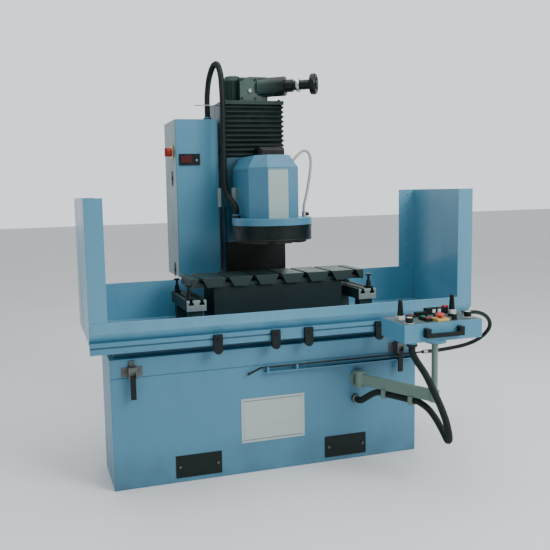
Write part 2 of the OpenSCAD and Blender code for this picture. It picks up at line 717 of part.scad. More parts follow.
// Hinged side door of the cabinet with the yellow plate of the main switch.
switch_y = 455;
switch_z = 1793;
module cabinet_door() color(paint) difference() {
  union() {
    block([cab_x0, cab_y0 + 1, cab_z0 + 1], [cab_x0 + door_t, cab_y0 + cab_d - 1, cab_top - 1]);
    block([cab_x0 - 3, switch_y - 42, switch_z - 42], [cab_x0, switch_y + 42, switch_z + 42]);
  }
  rod_x([cab_x0 - 4, switch_y, switch_z], 8 + fit, door_t + 5);
}

// Quarter-turn locks of the door.
module door_locks() color(dark) for (z = [1061, 1633])
  rod_x([cab_x0 - 6, 465, z], 13, 6);

// Rotary main switch on the door.
module main_switch() color([0.75, 0.12, 0.10]) {
  rod_x([cab_x0 - 34, switch_y, switch_z], 26, 30);
  block([cab_x0 - 46, switch_y - 8, switch_z - 26], [cab_x0 - 30, switch_y + 8, switch_z + 26]);
  rod_x([cab_x0 - 10, switch_y, switch_z], 8, 10 + door_t - 1);
}

// Panel meter on the cabinet's front.
module panel_meter() color(dark)
  block([-462, cab_y0 - 8, 1709], [-332, cab_y0, 1777]);

// ---- control arm and box -------------------------------------------------

pin_r = 12;
hub_r = 28;
hub_z = [445, 505];
lug_t = 14;
base_gland = [382, 355];
gland_l = 24;
// Wall bracket of the arm with its pivot pin, and the conduit's base gland.
module arm_bracket() color(beige) {
  difference() {
    union() {
      rod_y([pivot[0], base_y0 - 8, pivot[2]], 46, 8);
      for (z = [hub_z[0] - lug_t - slip, hub_z[1] + slip]) {
        translate([pivot[0], pivot[1], z]) cylinder(r = hub_r, h = lug_t);
        block([pivot[0] - hub_r, pivot[1], z], [pivot[0] + hub_r, base_y0 - 7, z + lug_t]);
      }
    }
  }
  translate([pivot[0], pivot[1], hub_z[0] - lug_t - 4]) cylinder(r = pin_r, h = hub_z[1] - hub_z[0] + 2 * lug_t + 8);
  rod_y([base_gland[0], base_y0 - gland_l, base_gland[1]], 25, gland_l);
}

arm_l = norm([post[0] - pivot[0], post[1] - pivot[1]]);
arm_a = atan2(post[1] - pivot[1], post[0] - pivot[0]);
post_top = box_z0 - 16;
spigot_r = 10;
strip_a = atan2(hose_fit[1] - post[1], hose_fit[0] - post[0]);
strip_l = norm([hose_fit[0] - post[0], hose_fit[1] - post[1]]);
// Box-section arm with its hub, the upright post and the hose bracket behind the box.
module control_arm() color(beige) {
  difference() {
    union() {
      translate([pivot[0], pivot[1], hub_z[0]]) cylinder(r = hub_r, h = hub_z[1] - hub_z[0]);
      translate([pivot[0], pivot[1], 0]) rotate([0, 0, arm_a])
        block([0, -13, hub_z[0]], [arm_l, 13, hub_z[1]]);
      translate([post[0], post[1], hub_z[0]]) cylinder(r = 25, h = hub_z[1] - hub_z[0]);
    }
    translate([pivot[0], pivot[1], 400]) cylinder(r = pin_r + fit, h = 200);
  }
  translate([post[0], post[1], hub_z[0]]) cylinder(r = post_r, h = post_top - hub_z[0]);
  translate([post[0], post[1], post_top - 8]) cylinder(r = 30, h = 8);
  translate([post[0], post[1], post_top]) cylinder(r = spigot_r, h = 14);
  translate([post[0], post[1], 0]) rotate([0, 0, strip_a]) {
    block([0, -15, post_top - 14], [strip_l + 3, 15, post_top - 8]);
    block([strip_l - 3, -15, post_top - 14], [strip_l + 3, 15, hose_fit[2] + 18]);
  }
  rod_x([hose_fit[0] - 8, hose_fit[1], hose_fit[2]], 14, 28);
  for (t = clamp_t) translate([pivot[0], pivot[1], 0]) rotate([0, 0, arm_a]) difference() {
    block([t * arm_l - 12, -24, under_z - 22], [t * arm_l + 12, 24, hub_z[0] + 1]);
    rod_x([t * arm_l - 13, 0, under_z], conduit_r + 2 * slip, 26);
  }
}

box_x1 = box_x0 + box_w;
box_y1 = box_y0 + box_d;
box_z1 = box_z0 + box_h;
wall = 3;
box_gland = [470, -745];
stick_at = [[450, -665], [790, -612]];
knob_at = [[440, -768], [700, -765], [800, -735]];
start_at = [556, -708];
stop_at = [556, -752];
estop_at = [625, -755];
stick_base = 22;
ball_r = 9;
// Sheet box with the swivel boss under it and the joystick sockets on top.
module control_box() color(paint) {
  difference() {
    block([box_x0, box_y0, box_z0], [box_x1, box_y1, box_z1]);
    block([box_x0 + wall, box_y0 + wall, box_z0 + wall], [box_x1 - wall, box_y1 - wall, box_z1 - wall]);
    translate([post[0], post[1], box_z0 - 1]) cylinder(r = spigot_r + fit, h = 6);
  }
  difference() {
    translate([post[0], post[1], post_top + slip]) cylinder(r = 56, h = box_z0 - post_top - slip);
    translate([post[0], post[1], post_top]) cylinder(r = spigot_r + fit, h = 18);
  }
  for (p = stick_at) difference() {
    translate([p[0], p[1], box_z1]) cylinder(r = 17, h = stick_base);
    translate([p[0], p[1], box_z1 + stick_base]) sphere(ball_r + slip, $fn = 32);
  }
  translate([box_gland[0], box_gland[1], box_z0 - gland_l]) cylinder(r = 25, h = gland_l);
}

handle_x = [513, 703];
bezel_h = 16;
// Bow handle, push-button bezel, stop base, displays and rear socket strip.
module box_fittings() color(dark) {
  for (x = handle_x) block([x - 12, box_y0 - 34, 800], [x + 12, box_y0, 846]);
  block([handle_x[0], box_y0 - 34, 800], [handle_x[1], box_y0 - 22, 822]);
  difference() {
    block([start_at[0] - 17, stop_at[1] - 18, box_z1], [start_at[0] + 17, start_at[1] + 18, box_z1 + bezel_h]);
    for (p = [start_at, stop_at])
      translate([p[0], p[1], box_z1 + 2]) cylinder(r = 11 + fit, h = bezel_h);
  }
  difference() {
    translate([estop_at[0], estop_at[1], box_z1]) cylinder(r = 33, h = 12);
    translate([estop_at[0], estop_at[1], box_z1 + 2]) cylinder(r = 9 + fit, h = 12);
  }
  block([560, -640, box_z1], [625, -612, box_z1 + 24]);
  block([640, -606, box_z1], [770, -576, box_z1 + 34]);
  translate([735, -680, box_z1]) cylinder(r = 14, h = 12);
}

stick_h = 76;
// A joystick: ball, stem, rubber gaiter and tapered grip.
module joystick(p) color(dark) translate([p[0], p[1], box_z1 + stick_base]) {
  sphere(ball_r, $fn = 32);
  cylinder(r = 5, h = 30);
  translate([0, 0, 12]) cylinder(r1 = 15, r2 = 11, h = stick_h - 16);
  translate([0, 0, stick_h - 4]) sphere(11, $fn = 32);
}
module joystick_left() joystick(stick_at[0]);
module joystick_right() joystick(stick_at[1]);

// A control knob on its skirt.
module knob(p, r) color(dark) translate([p[0], p[1], box_z1]) {
  cylinder(r = r + 3, h = 4);
  cylinder(r = r, h = 30);
}
module knob_left() knob(knob_at[0], 19);
module knob_mid() knob(knob_at[1], 13);
module knob_right() knob(knob_at[2], 19);

// A round push button that sinks into the bezel.
module button(p) translate([p[0], p[1], box_z1 + 8]) cylinder(r = 11, h = 13);
module start_button() color([0.05, 0.45, 0.30]) button(start_at);
module stop_button() color([0.60, 0.10, 0.08]) button(stop_at);

// Emergency stop: red mushroom head on its stem.
module estop() color([0.78, 0.10, 0.10]) translate([estop_at[0], estop_at[1], box_z1]) {
  translate([0, 0, 9]) cylinder(r = 9, h = 18);
  translate([0, 0, 20]) cylinder(r1 = 20, r2 = 25, h = 8);
  translate([0, 0, 28]) cylinder(r1 = 25, r2 = 17, h = 10);
}

clamp_t = [0.36, 0.72];
under_z = hub_z[0] - conduit_r - 3;
function along_arm(t, z) = [pivot[0] + t * (post[0] - pivot[0]), pivot[1] + t * (post[1] - pivot[1]), z];
lower_route = [[382, base_y0 - gland_l, 355], [382, -324, 355], [382, -336, 355], [386, -365, 364],
  [403, -395, 388], [424, -420, 411], along_arm(0.27, under_z), along_arm(0.36, under_z),
  along_arm(0.45, under_z), along_arm(0.6, under_z), along_arm(0.67, under_z),
  along_arm(0.74, under_z)];
upper_route = [along_arm(0.742, under_z), along_arm(0.77, under_z), along_arm(0.8, under_z),
  [582, -712, 402], [606, -740, 362], [628, -762, 312], [640, -778, 276], [644, -798, 252],
  [640, -820, 262], [630, -832, 300], [611, -832, 373], [582, -822, 455], [551, -806, 534],
  [518, -790, 610], [488, -765, 668], [474, -749, 705], [470, -745, 722], [470, -745, 736],
  [470, -745, box_z0 - gland_l]];
// Corrugated conduit from the base to the arm, held by two clips under it.
module conduit_lower() color(dark) tube(spline(lower_route, 3), conduit_r, [0.3, 0.2, 1], 10);

// The same conduit from the last clip, in a hanging loop up to the control box.
module conduit_upper() color(dark) tube(spline(upper_route, 4), conduit_r, [0.2, 1, 0.1], 10);

base_frame();
front_panel();
fork_covers();
badge_plate();
latch_plates();
latch_left();
latch_right();
lance_rest();
lance();
lance_hose();
tray();
splash_walls();
dog_rail();
dog_1();
dog_2();
dog_3();
dog_4();
carriage();
work_table();
cross_rails();
work_jacks();
traverse_motor();
traverse_screw();
column();
bellows();
feed_drive();
feed_screw();
handwheel();
head_slide();
way_cover();
cowl();
spindle_motor();
spindle_housing();
splash_plate();
wheel_guard();
spindle();
segments();
coolant_line();
tap_body();
coolant_tap();
head_conduit();
cabinet();
cabinet_door();
door_locks();
main_switch();
panel_meter();
arm_bracket();
control_arm();
control_box();
box_fittings();
conduit_lower();
conduit_upper();
joystick_left();
joystick_right();
knob_left();
knob_mid();
knob_right();
start_button();
stop_button();
estop();
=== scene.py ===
import json
import math
import bmesh
import bpy
from mathutils import Matrix, Vector

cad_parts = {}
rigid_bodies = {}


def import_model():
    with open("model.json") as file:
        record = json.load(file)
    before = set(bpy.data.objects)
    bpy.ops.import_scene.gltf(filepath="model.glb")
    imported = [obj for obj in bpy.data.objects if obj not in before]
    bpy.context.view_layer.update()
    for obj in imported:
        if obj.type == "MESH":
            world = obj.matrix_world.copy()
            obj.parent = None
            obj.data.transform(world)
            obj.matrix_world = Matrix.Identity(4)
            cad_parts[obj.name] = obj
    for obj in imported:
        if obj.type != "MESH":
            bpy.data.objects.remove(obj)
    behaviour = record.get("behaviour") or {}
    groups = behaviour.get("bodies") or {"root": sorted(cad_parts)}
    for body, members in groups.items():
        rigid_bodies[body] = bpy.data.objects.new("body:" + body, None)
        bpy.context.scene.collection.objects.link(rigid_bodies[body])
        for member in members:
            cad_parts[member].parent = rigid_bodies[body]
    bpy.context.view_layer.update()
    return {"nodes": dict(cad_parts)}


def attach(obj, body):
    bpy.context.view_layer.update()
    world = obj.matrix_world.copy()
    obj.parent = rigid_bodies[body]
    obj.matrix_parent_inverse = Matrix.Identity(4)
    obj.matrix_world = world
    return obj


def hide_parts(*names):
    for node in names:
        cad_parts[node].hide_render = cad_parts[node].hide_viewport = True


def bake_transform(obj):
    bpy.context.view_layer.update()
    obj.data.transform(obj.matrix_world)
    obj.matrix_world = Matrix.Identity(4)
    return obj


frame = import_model()

# Camera.
# It stands to the left of the machine, a little above the table, and looks slightly down.
YAW, PITCH, ROLL = math.radians(15.801), math.radians(6.307), math.radians(-1.412)
ahead = Vector((math.sin(YAW) * math.cos(PITCH), math.cos(YAW) * math.cos(PITCH), -math.sin(PITCH)))
level = Vector((math.cos(YAW), -math.sin(YAW), 0))
upright = level.cross(ahead)
right = level * math.cos(ROLL) + upright * math.sin(ROLL)
top = upright * math.cos(ROLL) - level * math.sin(ROLL)
lens_data = bpy.data.cameras.new("camera")
lens_data.lens = 44.62
lens_data.shift_x = 0.0952
lens_data.shift_y = -0.0166
camera = bpy.data.objects.new("camera", lens_data)
camera.matrix_world = Matrix((right, top, -ahead)).transposed().to_4x4()
camera.location = (-1.35975, -3.73546, 1.55084)
bpy.context.scene.collection.objects.link(camera)
bpy.context.scene.camera = camera


# Shop floor and lights.
# A pale sealed floor and a bright backdrop, with large soft lamps in front as in a showroom.
class Reading:
    """A shader socket that can stand in a Python sum."""

    def __init__(self, finish, socket):
        self.finish = finish
        self.socket = socket

    def sum(self, operation, first, second):
        return self.finish.node("ShaderNodeMath", {"operation": operation}, {0: first, 1: second})

    def __add__(self, other):
        return self.sum("ADD", self, other)

    def __sub__(self, other):
        return self.sum("SUBTRACT", self, other)

    def __mul__(self, other):
        return self.sum("MULTIPLY", self, other)

    def __truediv__(self, other):
        return self.sum("DIVIDE", self, other)

    def __rsub__(self, other):
        return self.sum("SUBTRACT", other, self)

    def __pow__(self, other):
        return self.sum("POWER", self, other)

    def most(self, other):
        return self.sum("MAXIMUM", self, other)

    __radd__ = __add__
    __rmul__ = __mul__


class Finish:
    """A surface finish: one Principled shader and the nodes that vary it."""

    def __init__(self, name, **fixed):
        self.material = bpy.data.materials.new(name)
        self.material.use_nodes = True
        self.tree = self.material.node_tree
        self.shader = self.tree.nodes["Principled BSDF"]
        for socket, value in fixed.items():
            self.shader.inputs[socket.replace("_", " ")].default_value = value

    def node(self, kind, settings=None, inputs=None, output=0):
        made = self.tree.nodes.new(kind)
        for key, value in (settings or {}).items():
            if key == "stops":
                while len(made.color_ramp.elements) < len(value):
                    made.color_ramp.elements.new(0.5)
                for element, (position, grey) in zip(made.color_ramp.elements, value):
                    element.position = position
                    element.color = (grey, grey, grey, 1)
            else:
                setattr(made, key, value)
        for key, value in (inputs or {}).items():
            if isinstance(value, Reading):
                self.tree.links.new(value.socket, made.inputs[key])
            else:
                made.inputs[key].default_value = value
        return Reading(self, made.outputs[output])

    def place(self, stretch=(1, 1, 1)):
        at = self.node("ShaderNodeTexCoord", output="Object")
        return self.node("ShaderNodeMapping", {}, {"Vector": at, "Scale": stretch})

    def noise(self, scale, detail=3, stretch=(1, 1, 1), rough=0.5):
        return self.node("ShaderNodeTexNoise", {}, {"Vector": self.place(stretch), "Scale": scale,
                         "Detail": detail, "Roughness": rough})

    def between(self, value, low, high):
        return self.node("ShaderNodeValToRGB", {"stops": [(low, 0), (high, 1)]}, {0: value})

    def along(self, axis):
        parts = self.node("ShaderNodeSeparateXYZ", {}, {0: self.place()}, output=axis)
        return parts

    def away(self, axis, centre):
        """The distance along an axis from a plane through centre."""
        return self.node("ShaderNodeMath", {"operation": "ABSOLUTE"}, {0: self.along(axis) - centre})

    def mix(self, mask, first, second):
        return self.node("ShaderNodeMix", {"data_type": "RGBA"}, {0: mask, 6: first, 7: second},
                         output=2)

    def give(self, **sockets):
        for socket, value in sockets.items():
            self.tree.links.new(value.socket, self.shader.inputs[socket.replace("_", " ")])
        return self.material

    def bump(self, height, distance, strength=1.0):
        return self.node("ShaderNodeBump", {}, {"Height": height, "Distance": distance,
                         "Strength": strength})


def tint(red, green, blue, share=1.0):
    """A colour on the usual 0 to 255 scale, as the shader's linear one."""
    def linear(value):
        value /= 255
        return value / 12.92 if value <= 0.04045 else ((value + 0.055) / 1.055) ** 2.4
    return tuple(linear(v) * share for v in (red, green, blue)) + (1,)


def floor_finish():
    sealed = Finish("sealed_floor", Roughness=0.6)
    cloud = sealed.noise(0.8, 4)
    return sealed.give(Base_Color=sealed.mix(cloud, tint(236, 238, 239), tint(226, 229, 231)))


def standing(name, bm, material):
    """A mesh object made from a bmesh and linked to the scene."""
    mesh = bpy.data.meshes.new(name)
    bm.to_mesh(mesh)
    bm.free()
    mesh.materials.append(material)
    obj = bpy.data.objects.new(name, mesh)
    bpy.context.scene.collection.objects.link(obj)
    return obj


floor_mesh = bmesh.new()
bmesh.ops.create_grid(floor_mesh, x_segments=1, y_segments=1, size=30)
standing("floor", floor_mesh, floor_finish())

world = bpy.data.worlds.new("showroom")
bpy.context.scene.world = world
world.use_nodes = True
backdrop = world.node_tree.nodes["Background"]
backdrop.inputs[0].default_value = (0.93, 0.96, 1.0, 1)
facing = world.node_tree.nodes.new("ShaderNodeTexCoord")
parts = world.node_tree.nodes.new("ShaderNodeSeparateXYZ")
level_of = world.node_tree.nodes.new("ShaderNodeMapRange")
for socket, value in zip(level_of.inputs[1:5], (0.0, 0.55, 0.34, 1.35)):
    socket.default_value = value
world.node_tree.links.new(facing.outputs["Generated"], parts.inputs[0])
world.node_tree.links.new(parts.outputs[1], level_of.inputs[0])
world.node_tree.links.new(level_of.outputs[0], backdrop.inputs[1])
for name, spot, aim, size, power in (
        ("key", (3.2, -4.6, 4.2), (0.0, 0.0, 1.0), 3.0, 290),
        ("fill", (-5.0, -3.0, 2.6), (0.0, 0.0, 1.0), 3.5, 22),
        ("overhead", (0.0, -0.6, 5.0), (0.0, 0.2, 1.0), 4.0, 130)):
    lamp = bpy.data.lights.new(name, "AREA")
    lamp.size = size
    lamp.energy = power
    lamp_object = bpy.data.objects.new(name, lamp)
    lamp_object.location = spot
    lamp_object.rotation_mode = "QUATERNION"
    lamp_object.rotation_quaternion = (Vector(aim) - Vector(spot)).to_track_quat("-Z", "Y")
    bpy.context.scene.collection.objects.link(lamp_object)


# Wash-down hose.
# Black rubber hose, 22 mm, from a bulkhead on the arm's bracket to the lance on the ledge.
# It is drawn on a mandrel, so it is smooth, with a crimped ferrule at each end.
def smooth_route(points, steps):
    """Points of a smooth curve through a route given in millimetres, in metres."""
    route = [Vector(p) / 1000 for p in points]
    route = [2 * route[0] - route[1]] + route + [2 * route[-1] - route[-2]]
    curve = []
    for a, b, c, d in zip(route, route[1:], route[2:], route[3:]):
        for k in range(steps):
            t = k / steps
            curve.append(0.5 * (2 * b + (c - a) * t + (2 * a - 5 * b + 4 * c - d) * t * t
                                + (3 * b - a - 3 * c + d) * t ** 3))
    curve.append(route[-2])
    return curve


def route_length(curve):
    return sum((b - a).length for a, b in zip(curve, curve[1:]))


def turned(profile, sides):
    """A bmesh turned about Z from (radius, height) pairs."""
    bm = bmesh.new()
    points = [bm.verts.new((r, 0, z)) for r, z in profile]
    edges = [bm.edges.new(pair) for pair in zip(points, points[1:])]
    bmesh.ops.spin(bm, geom=points + edges, axis=(0, 0, 1), cent=(0, 0, 0), steps=sides,
                   angle=math.tau, use_merge=True)
    bmesh.ops.remove_doubles(bm, verts=bm.verts, dist=1e-6)
    bmesh.ops.recalc_face_normals(bm, faces=bm.faces)
    for face in bm.faces:
        face.smooth = True
    return bm


def laid_along(bm, curve):
    """Moves a straight tube that stands on Z onto a route, without twist."""
    lengths = [0.0]
    for a, b in zip(curve, curve[1:]):
        lengths.append(lengths[-1] + (b - a).length)
    tangents = [(curve[min(i + 1, len(curve) - 1)] - curve[max(i - 1, 0)]).normalized()
                for i in range(len(curve))]
    side = tangents[0].orthogonal().normalized()
    sides = [side]
    for before, after in zip(tangents, tangents[1:]):
        side = before.rotation_difference(after) @ side
        sides.append((side - after * side.dot(after)).normalized())
    step = 0
    for vert in sorted(bm.verts, key=lambda v: v.co.z):
        height = min(max(vert.co.z, 0.0), lengths[-1])
        while step < len(curve) - 2 and lengths[step + 1] < height:
            step += 1
        share = (height - lengths[step]) / (lengths[step + 1] - lengths[step])
        tangent = tangents[step].lerp(tangents[step + 1], share).normalized()
        across = sides[step].lerp(sides[step + 1], share)
        across = (across - tangent * across.dot(tangent)).normalized()
        centre = curve[step].lerp(curve[step + 1], share)
        vert.co = centre + across * vert.co.x + tangent.cross(across) * vert.co.y
    bmesh.ops.recalc_face_normals(bm, faces=bm.faces)
    return bm


def rubber_finish(name, colour):
    rubber = Finish(name, Specular_IOR_Level=0.3)
    cloud = rubber.noise(14, 4)
    grain = rubber.noise(900, 2)
    dust = rubber.between(rubber.noise(55, 5), 0.5, 0.75)
    bloom = rubber.mix(dust * 0.12, colour, tint(70, 86, 82))
    return rubber.give(Base_Color=rubber.mix(cloud * 0.4, bloom, tint(4, 12, 11)),
                       Roughness=0.38 + cloud * 0.2, Normal=rubber.bump(grain, 0.0004))


rubber = rubber_finish("hose_rubber", tint(9, 24, 22))
HOSE_RADIUS = 0.011
hose_points = ((888, -540, 850), (905, -540, 850), (925, -540, 850), (985, -530, 848),
               (1040, -515, 836), (1090, -498, 812), (1128, -480, 776), (1142, -460, 735),
               (1130, -436, 694), (1098, -408, 656), (1052, -378, 628), (998, -350, 610),
               (940, -328, 598), (892, -314, 591), (868, -312, 590), (850, -312, 590),
               (832, -312, 590))
hose_curve = smooth_route(hose_points, 6)
hose_length = route_length(hose_curve)
rings = 220
hose_mesh = laid_along(turned([(0, 0)] + [(HOSE_RADIUS, hose_length * i / rings) for i in range(rings + 1)]
                              + [(0, hose_length)], 20), hose_curve)
hose = standing("lance_hose_rubber", hose_mesh, rubber)
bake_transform(hose)
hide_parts("lance_hose")


# Conduits.
# Black corrugated polyamide conduit, 36 mm: one over the top to the head, one along the arm
# and in a hanging loop to the control box. Each end is screwed into a gland.
def ribbed(length, crest, root, pitch):
    """Radius and height pairs of a corrugated tube."""
    count = int(length / pitch)
    pitch = length / count
    profile = [(0, 0)]
    for i in range(count):
        profile += [(root, pitch * i), (root, pitch * (i + 0.25)),
                    (crest, pitch * (i + 0.42)), (crest, pitch * (i + 0.83))]
    return profile + [(root, length), (0, length)]


def fitted(obj, body, slot, *nodes):
    """Fixes a finished piece to its body, and hides the CAD parts that it stands for."""
    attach(obj, body)
    if nodes:
        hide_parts(*nodes)
    return obj


conduit_black = rubber_finish("conduit_black", tint(8, 26, 24))
PIVOT, POST = Vector((395, -330, 424)), Vector((600, -748, 424))
low = [tuple(PIVOT.lerp(POST, t)) for t in (0.27, 0.36, 0.45, 0.6, 0.67, 0.74)]
high = [tuple(PIVOT.lerp(POST, t)) for t in (0.742, 0.77, 0.8)]
conduits = (
    ("conduit_lower", "machine", "arm", (0.382, -0.314, 0.355), (0.452, -0.446, 0.424),
     [(382, -314, 355), (382, -324, 355), (382, -336, 355), (386, -365, 364), (403, -395, 388),
      (424, -420, 411)] + low),
    ("conduit_upper", "arm", "box", (0, -0.465, 0.465), (-0.0574, -0.6564, 0.6564),
     high + [(582, -712, 402), (606, -740, 362), (628, -762, 312), (640, -778, 276),
             (644, -798, 252), (640, -820, 262), (630, -832, 300), (611, -832, 373),
             (582, -822, 455), (551, -806, 534), (518, -790, 610), (488, -765, 668),
             (474, -749, 705), (470, -745, 722), (470, -745, 736), (470, -745, 750)]),
    ("head_conduit", "machine", "head", (0, 1.2, 1.2), (0, 0.8, 0.8),
     [(-245, 470, 2009), (-245, 470, 2040), (-245, 470, 2070), (-245, 462, 2140),
      (-240, 435, 2230), (-228, 380, 2300), (-216, 320, 2306), (-210, 272, 2240),
      (-210, 250, 2150), (-211, 240, 2040), (-213, 236, 1920), (-215, 233, 1800),
      (-216, 230, 1690), (-216, 218, 1600), (-212, 190, 1530), (-202, 130, 1490),
      (-193, 90, 1460), (-190, 78, 1440), (-190, 78, 1425), (-190, 78, 1410)]))
for node, first, second, start, end, points in conduits:
    curve = smooth_route(points, 6)
    tube = standing(node + "_corrugated",
                    laid_along(turned(ribbed(route_length(curve), 0.018, 0.0162, 0.0075), 18), curve),
                    conduit_black)
    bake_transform(tube)
    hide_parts(node)


# Bed cabinet.
# Welded plate, filled and sprayed in blue-grey enamel, with a rear foot under the column.
# The access panel closes the front below the latches; the slideways are scraped iron, but get no finish of
# their own here.
def enamel(name, colour, foot=0.0, shine=0.34):
    """Sprayed machine enamel: orange peel, slow clouding, and grime low down if foot is given."""
    coat = Finish(name, Coat_Roughness=0.12, Specular_IOR_Level=0.45)
    cloud = coat.noise(1.7, 5)
    peel = coat.noise(260, 2)
    smear = coat.between(coat.noise(9, 6, (1, 1, 0.35), 0.62), 0.52, 0.8)
    base = coat.mix(cloud, tint(*colour, 1.06), tint(*colour, 0.93))
    base = coat.mix(smear * 0.22, base, tint(*(c * 0.72 + 8 for c in colour)))
    if foot:
        height = coat.along(2)
        low_down = coat.between(1 - height / foot, 0.15, 1.0) * coat.between(coat.noise(5, 6), 0.35, 0.7)
        base = coat.mix(low_down * 0.5, base, tint(52, 60, 60))
    return coat.give(Base_Color=base, Roughness=shine + smear * 0.18 + cloud * 0.06,
                     Normal=coat.bump(peel, 0.0006, 0.35))


def eased(node, name, material, radius, steps=2, sharp=30):
    """A copy of a CAD part, merged to whole faces, with its edges eased by a small round."""
    bm = bmesh.new()
    bm.from_mesh(frame["nodes"][node].data)
    bmesh.ops.remove_doubles(bm, verts=bm.verts, dist=1e-6)
    bmesh.ops.dissolve_limit(bm, angle_limit=math.radians(0.5), verts=bm.verts, edges=bm.edges)
    for face in bm.faces:
        face.smooth = True
    obj = standing(name, bm, material)
    obj.data.set_sharp_from_angle(angle=math.radians(sharp))
    if radius:
        ease = obj.modifiers.new("eased", "BEVEL")
        ease.width = radius
        ease.segments = steps
        ease.limit_method = "ANGLE"
        ease.angle_limit = math.radians(sharp)
        ease.harden_normals = True
    return obj


def turned_to(axis):
    """A matrix that stands Z on an axis."""
    return Vector((0, 0, 1)).rotation_difference(Vector(axis)).to_matrix().to_4x4()


def cap_screw(bm, at, axis, radius, height):
    """A socket-head screw: a round head with an eased rim and a sunk socket."""
    place = Matrix.Translation(Vector(at) + Vector(axis) * height / 2) @ turned_to(axis)
    head = bmesh.ops.create_cone(bm, cap_ends=True, segments=20, radius1=radius, radius2=radius,
                                 depth=height, matrix=place)["verts"]
    crown = max((f for v in head for f in v.link_faces if len(f.verts) == 20),
                key=lambda f: f.calc_center_median().dot(Vector(axis)))
    bmesh.ops.inset_region(bm, faces=[crown], thickness=radius * 0.18, depth=height * 0.12)
    bmesh.ops.inset_region(bm, faces=[crown], thickness=radius * 0.3, depth=0)
    bmesh.ops.translate(bm, verts=crown.verts, vec=Vector(axis) * -height * 0.5)


def slab(centre, size):
    """A plain block about a centre, as a bmesh."""
    bm = bmesh.new()
    bmesh.ops.create_cube(bm, size=1, matrix=Matrix.Translation(centre) @ Matrix.Diagonal((*size, 1)))
    return bm


def eased_slab(centre, size, edge):
    """A slab whose edges are all rounded by one small radius."""
    bm = slab(centre, size)
    bmesh.ops.bevel(bm, geom=bm.edges, offset=edge, segments=2, profile=0.5, affect="EDGES", material=-1)
    return bm


def cap_screws(name, places, axis, radius, height, material, body, slot):
    """A set of like screws in one mesh."""
    bm = bmesh.new()
    for at in places:
        cap_screw(bm, at, axis, radius, height)
    return fitted(standing(name, bm, material), body, slot)


BLUE = (76, 132, 158)
bed_enamel = enamel("bed_enamel", BLUE, foot=0.28)
blue_enamel = enamel("blue_enamel", BLUE)
fitted(eased("base_frame", "bed_cabinet", bed_enamel, 0.004), "machine", "paint", "base_frame")
fitted(eased("front_panel", "bed_front_panel", bed_enamel, 0.0015), "machine", "paint", "front_panel")


def bright_steel(name, grey=190, rough=0.3, stretch=(1, 1, 1), scratch=220):
    """Machined steel: fine directional scratches, slow staining and a little rust in the pits."""
    steel = Finish(name, Metallic=1.0)
    lines = steel.noise(scratch, 3, stretch)
    stain = steel.noise(6, 5)
    base = steel.mix(lines * 0.5, tint(grey, grey + 3, grey + 2), tint(grey * 0.72, grey * 0.74, grey * 0.74))
    base = steel.mix(steel.between(stain, 0.55, 0.8) * 0.4, base, tint(104, 98, 88))
    return steel.give(Base_Color=base, Roughness=rough + lines * 0.16 + stain * 0.1,
                      Normal=steel.bump(lines, 0.0003, 0.4))


zinc = bright_steel("zinc_plate", 178, 0.34, (1, 1, 1), 60)
dull_zinc = bright_steel("dull_zinc", 118, 0.46, (1, 1, 1), 60)
black_oxide = Finish("black_oxide", Metallic=0.55)
black_screw = black_oxide.give(
    Base_Color=black_oxide.mix(black_oxide.noise(80, 4), tint(30, 34, 34), tint(54, 56, 54)),
    Roughness=0.34 + black_oxide.noise(140, 3) * 0.24)

# Way wipers.
# Black rubber lips on folded steel plates, screwed to the ends of the tray's runners.
wiper_mesh = bmesh.new()
for x in (-0.753, 0.753):
    for y in (-0.205, 0.005):
        place = Matrix.Translation((x, y, 0.781)) @ Matrix.Diagonal((0.005, 0.096, 0.028, 1))
        bmesh.ops.create_cube(wiper_mesh, size=1, matrix=place)
bmesh.ops.bevel(wiper_mesh, geom=wiper_mesh.edges, offset=0.001, segments=2, profile=0.5,
                affect="EDGES", material=-1)
fitted(standing("way_wipers", wiper_mesh, rubber), "table", "hose_rubber")


# Fork-pocket covers.
# Thin black-painted steel plates over the lifting pockets, each held by two screws.
def satin_black(name, colour=(22, 36, 35), rough=0.42):
    """Satin black-green paint that has chalked a little."""
    coat = Finish(name, Specular_IOR_Level=0.3)
    cloud = coat.noise(11, 5)
    peel = coat.noise(300, 2)
    dust = coat.between(coat.noise(34, 6), 0.5, 0.8)
    base = coat.mix(cloud, tint(*colour, 0.8), tint(*colour, 0.5))
    return coat.give(Base_Color=coat.mix(dust * 0.06, base, tint(60, 88, 83)),
                     Roughness=rough + dust * 0.2, Normal=coat.bump(peel, 0.0005, 0.4))


cover_black = satin_black("cover_black", (8, 28, 26))
fitted(eased("fork_covers", "fork_pocket_covers", cover_black, 0.0008), "machine", "dark_paint",
       "fork_covers")
cap_screws("fork_cover_screws", [(x, -0.295, 0.086) for x in (-0.6485, -0.4375, 0.2145, 0.4255)],
           (0, -1, 0), 0.0075, 0.004, dull_zinc, "machine", "steel")

# Front plate.
# A plain anodised plate with a thin engraved border, held by four drive rivets.
plate = Finish("anodised_plate", Metallic=0.35)
PLATE_X, PLATE_Z = -0.115, 0.2955
x_in = plate.between(plate.away(0, PLATE_X), 0.168, 0.1682)
z_in = plate.between(plate.away(2, PLATE_Z), 0.107, 0.1072)
x_out = plate.between(plate.away(0, PLATE_X), 0.1705, 0.1707)
z_out = plate.between(plate.away(2, PLATE_Z), 0.1095, 0.1097)
line = x_in.most(z_in) * (1 - x_out.most(z_out))
brushed = plate.noise(160, 3, (0.04, 1, 1))
plate_tone = plate.mix(brushed, tint(186, 198, 194), tint(166, 182, 180))
plate_metal = plate.give(Base_Color=plate.mix(line, plate_tone, tint(60, 96, 112)),
                         Roughness=0.42 + brushed * 0.15, Normal=plate.bump(1 - line, 0.0003, 0.6))
fitted(eased("badge_plate", "front_plate", plate_metal, 0.0007), "machine", "plate_label", "badge_plate")
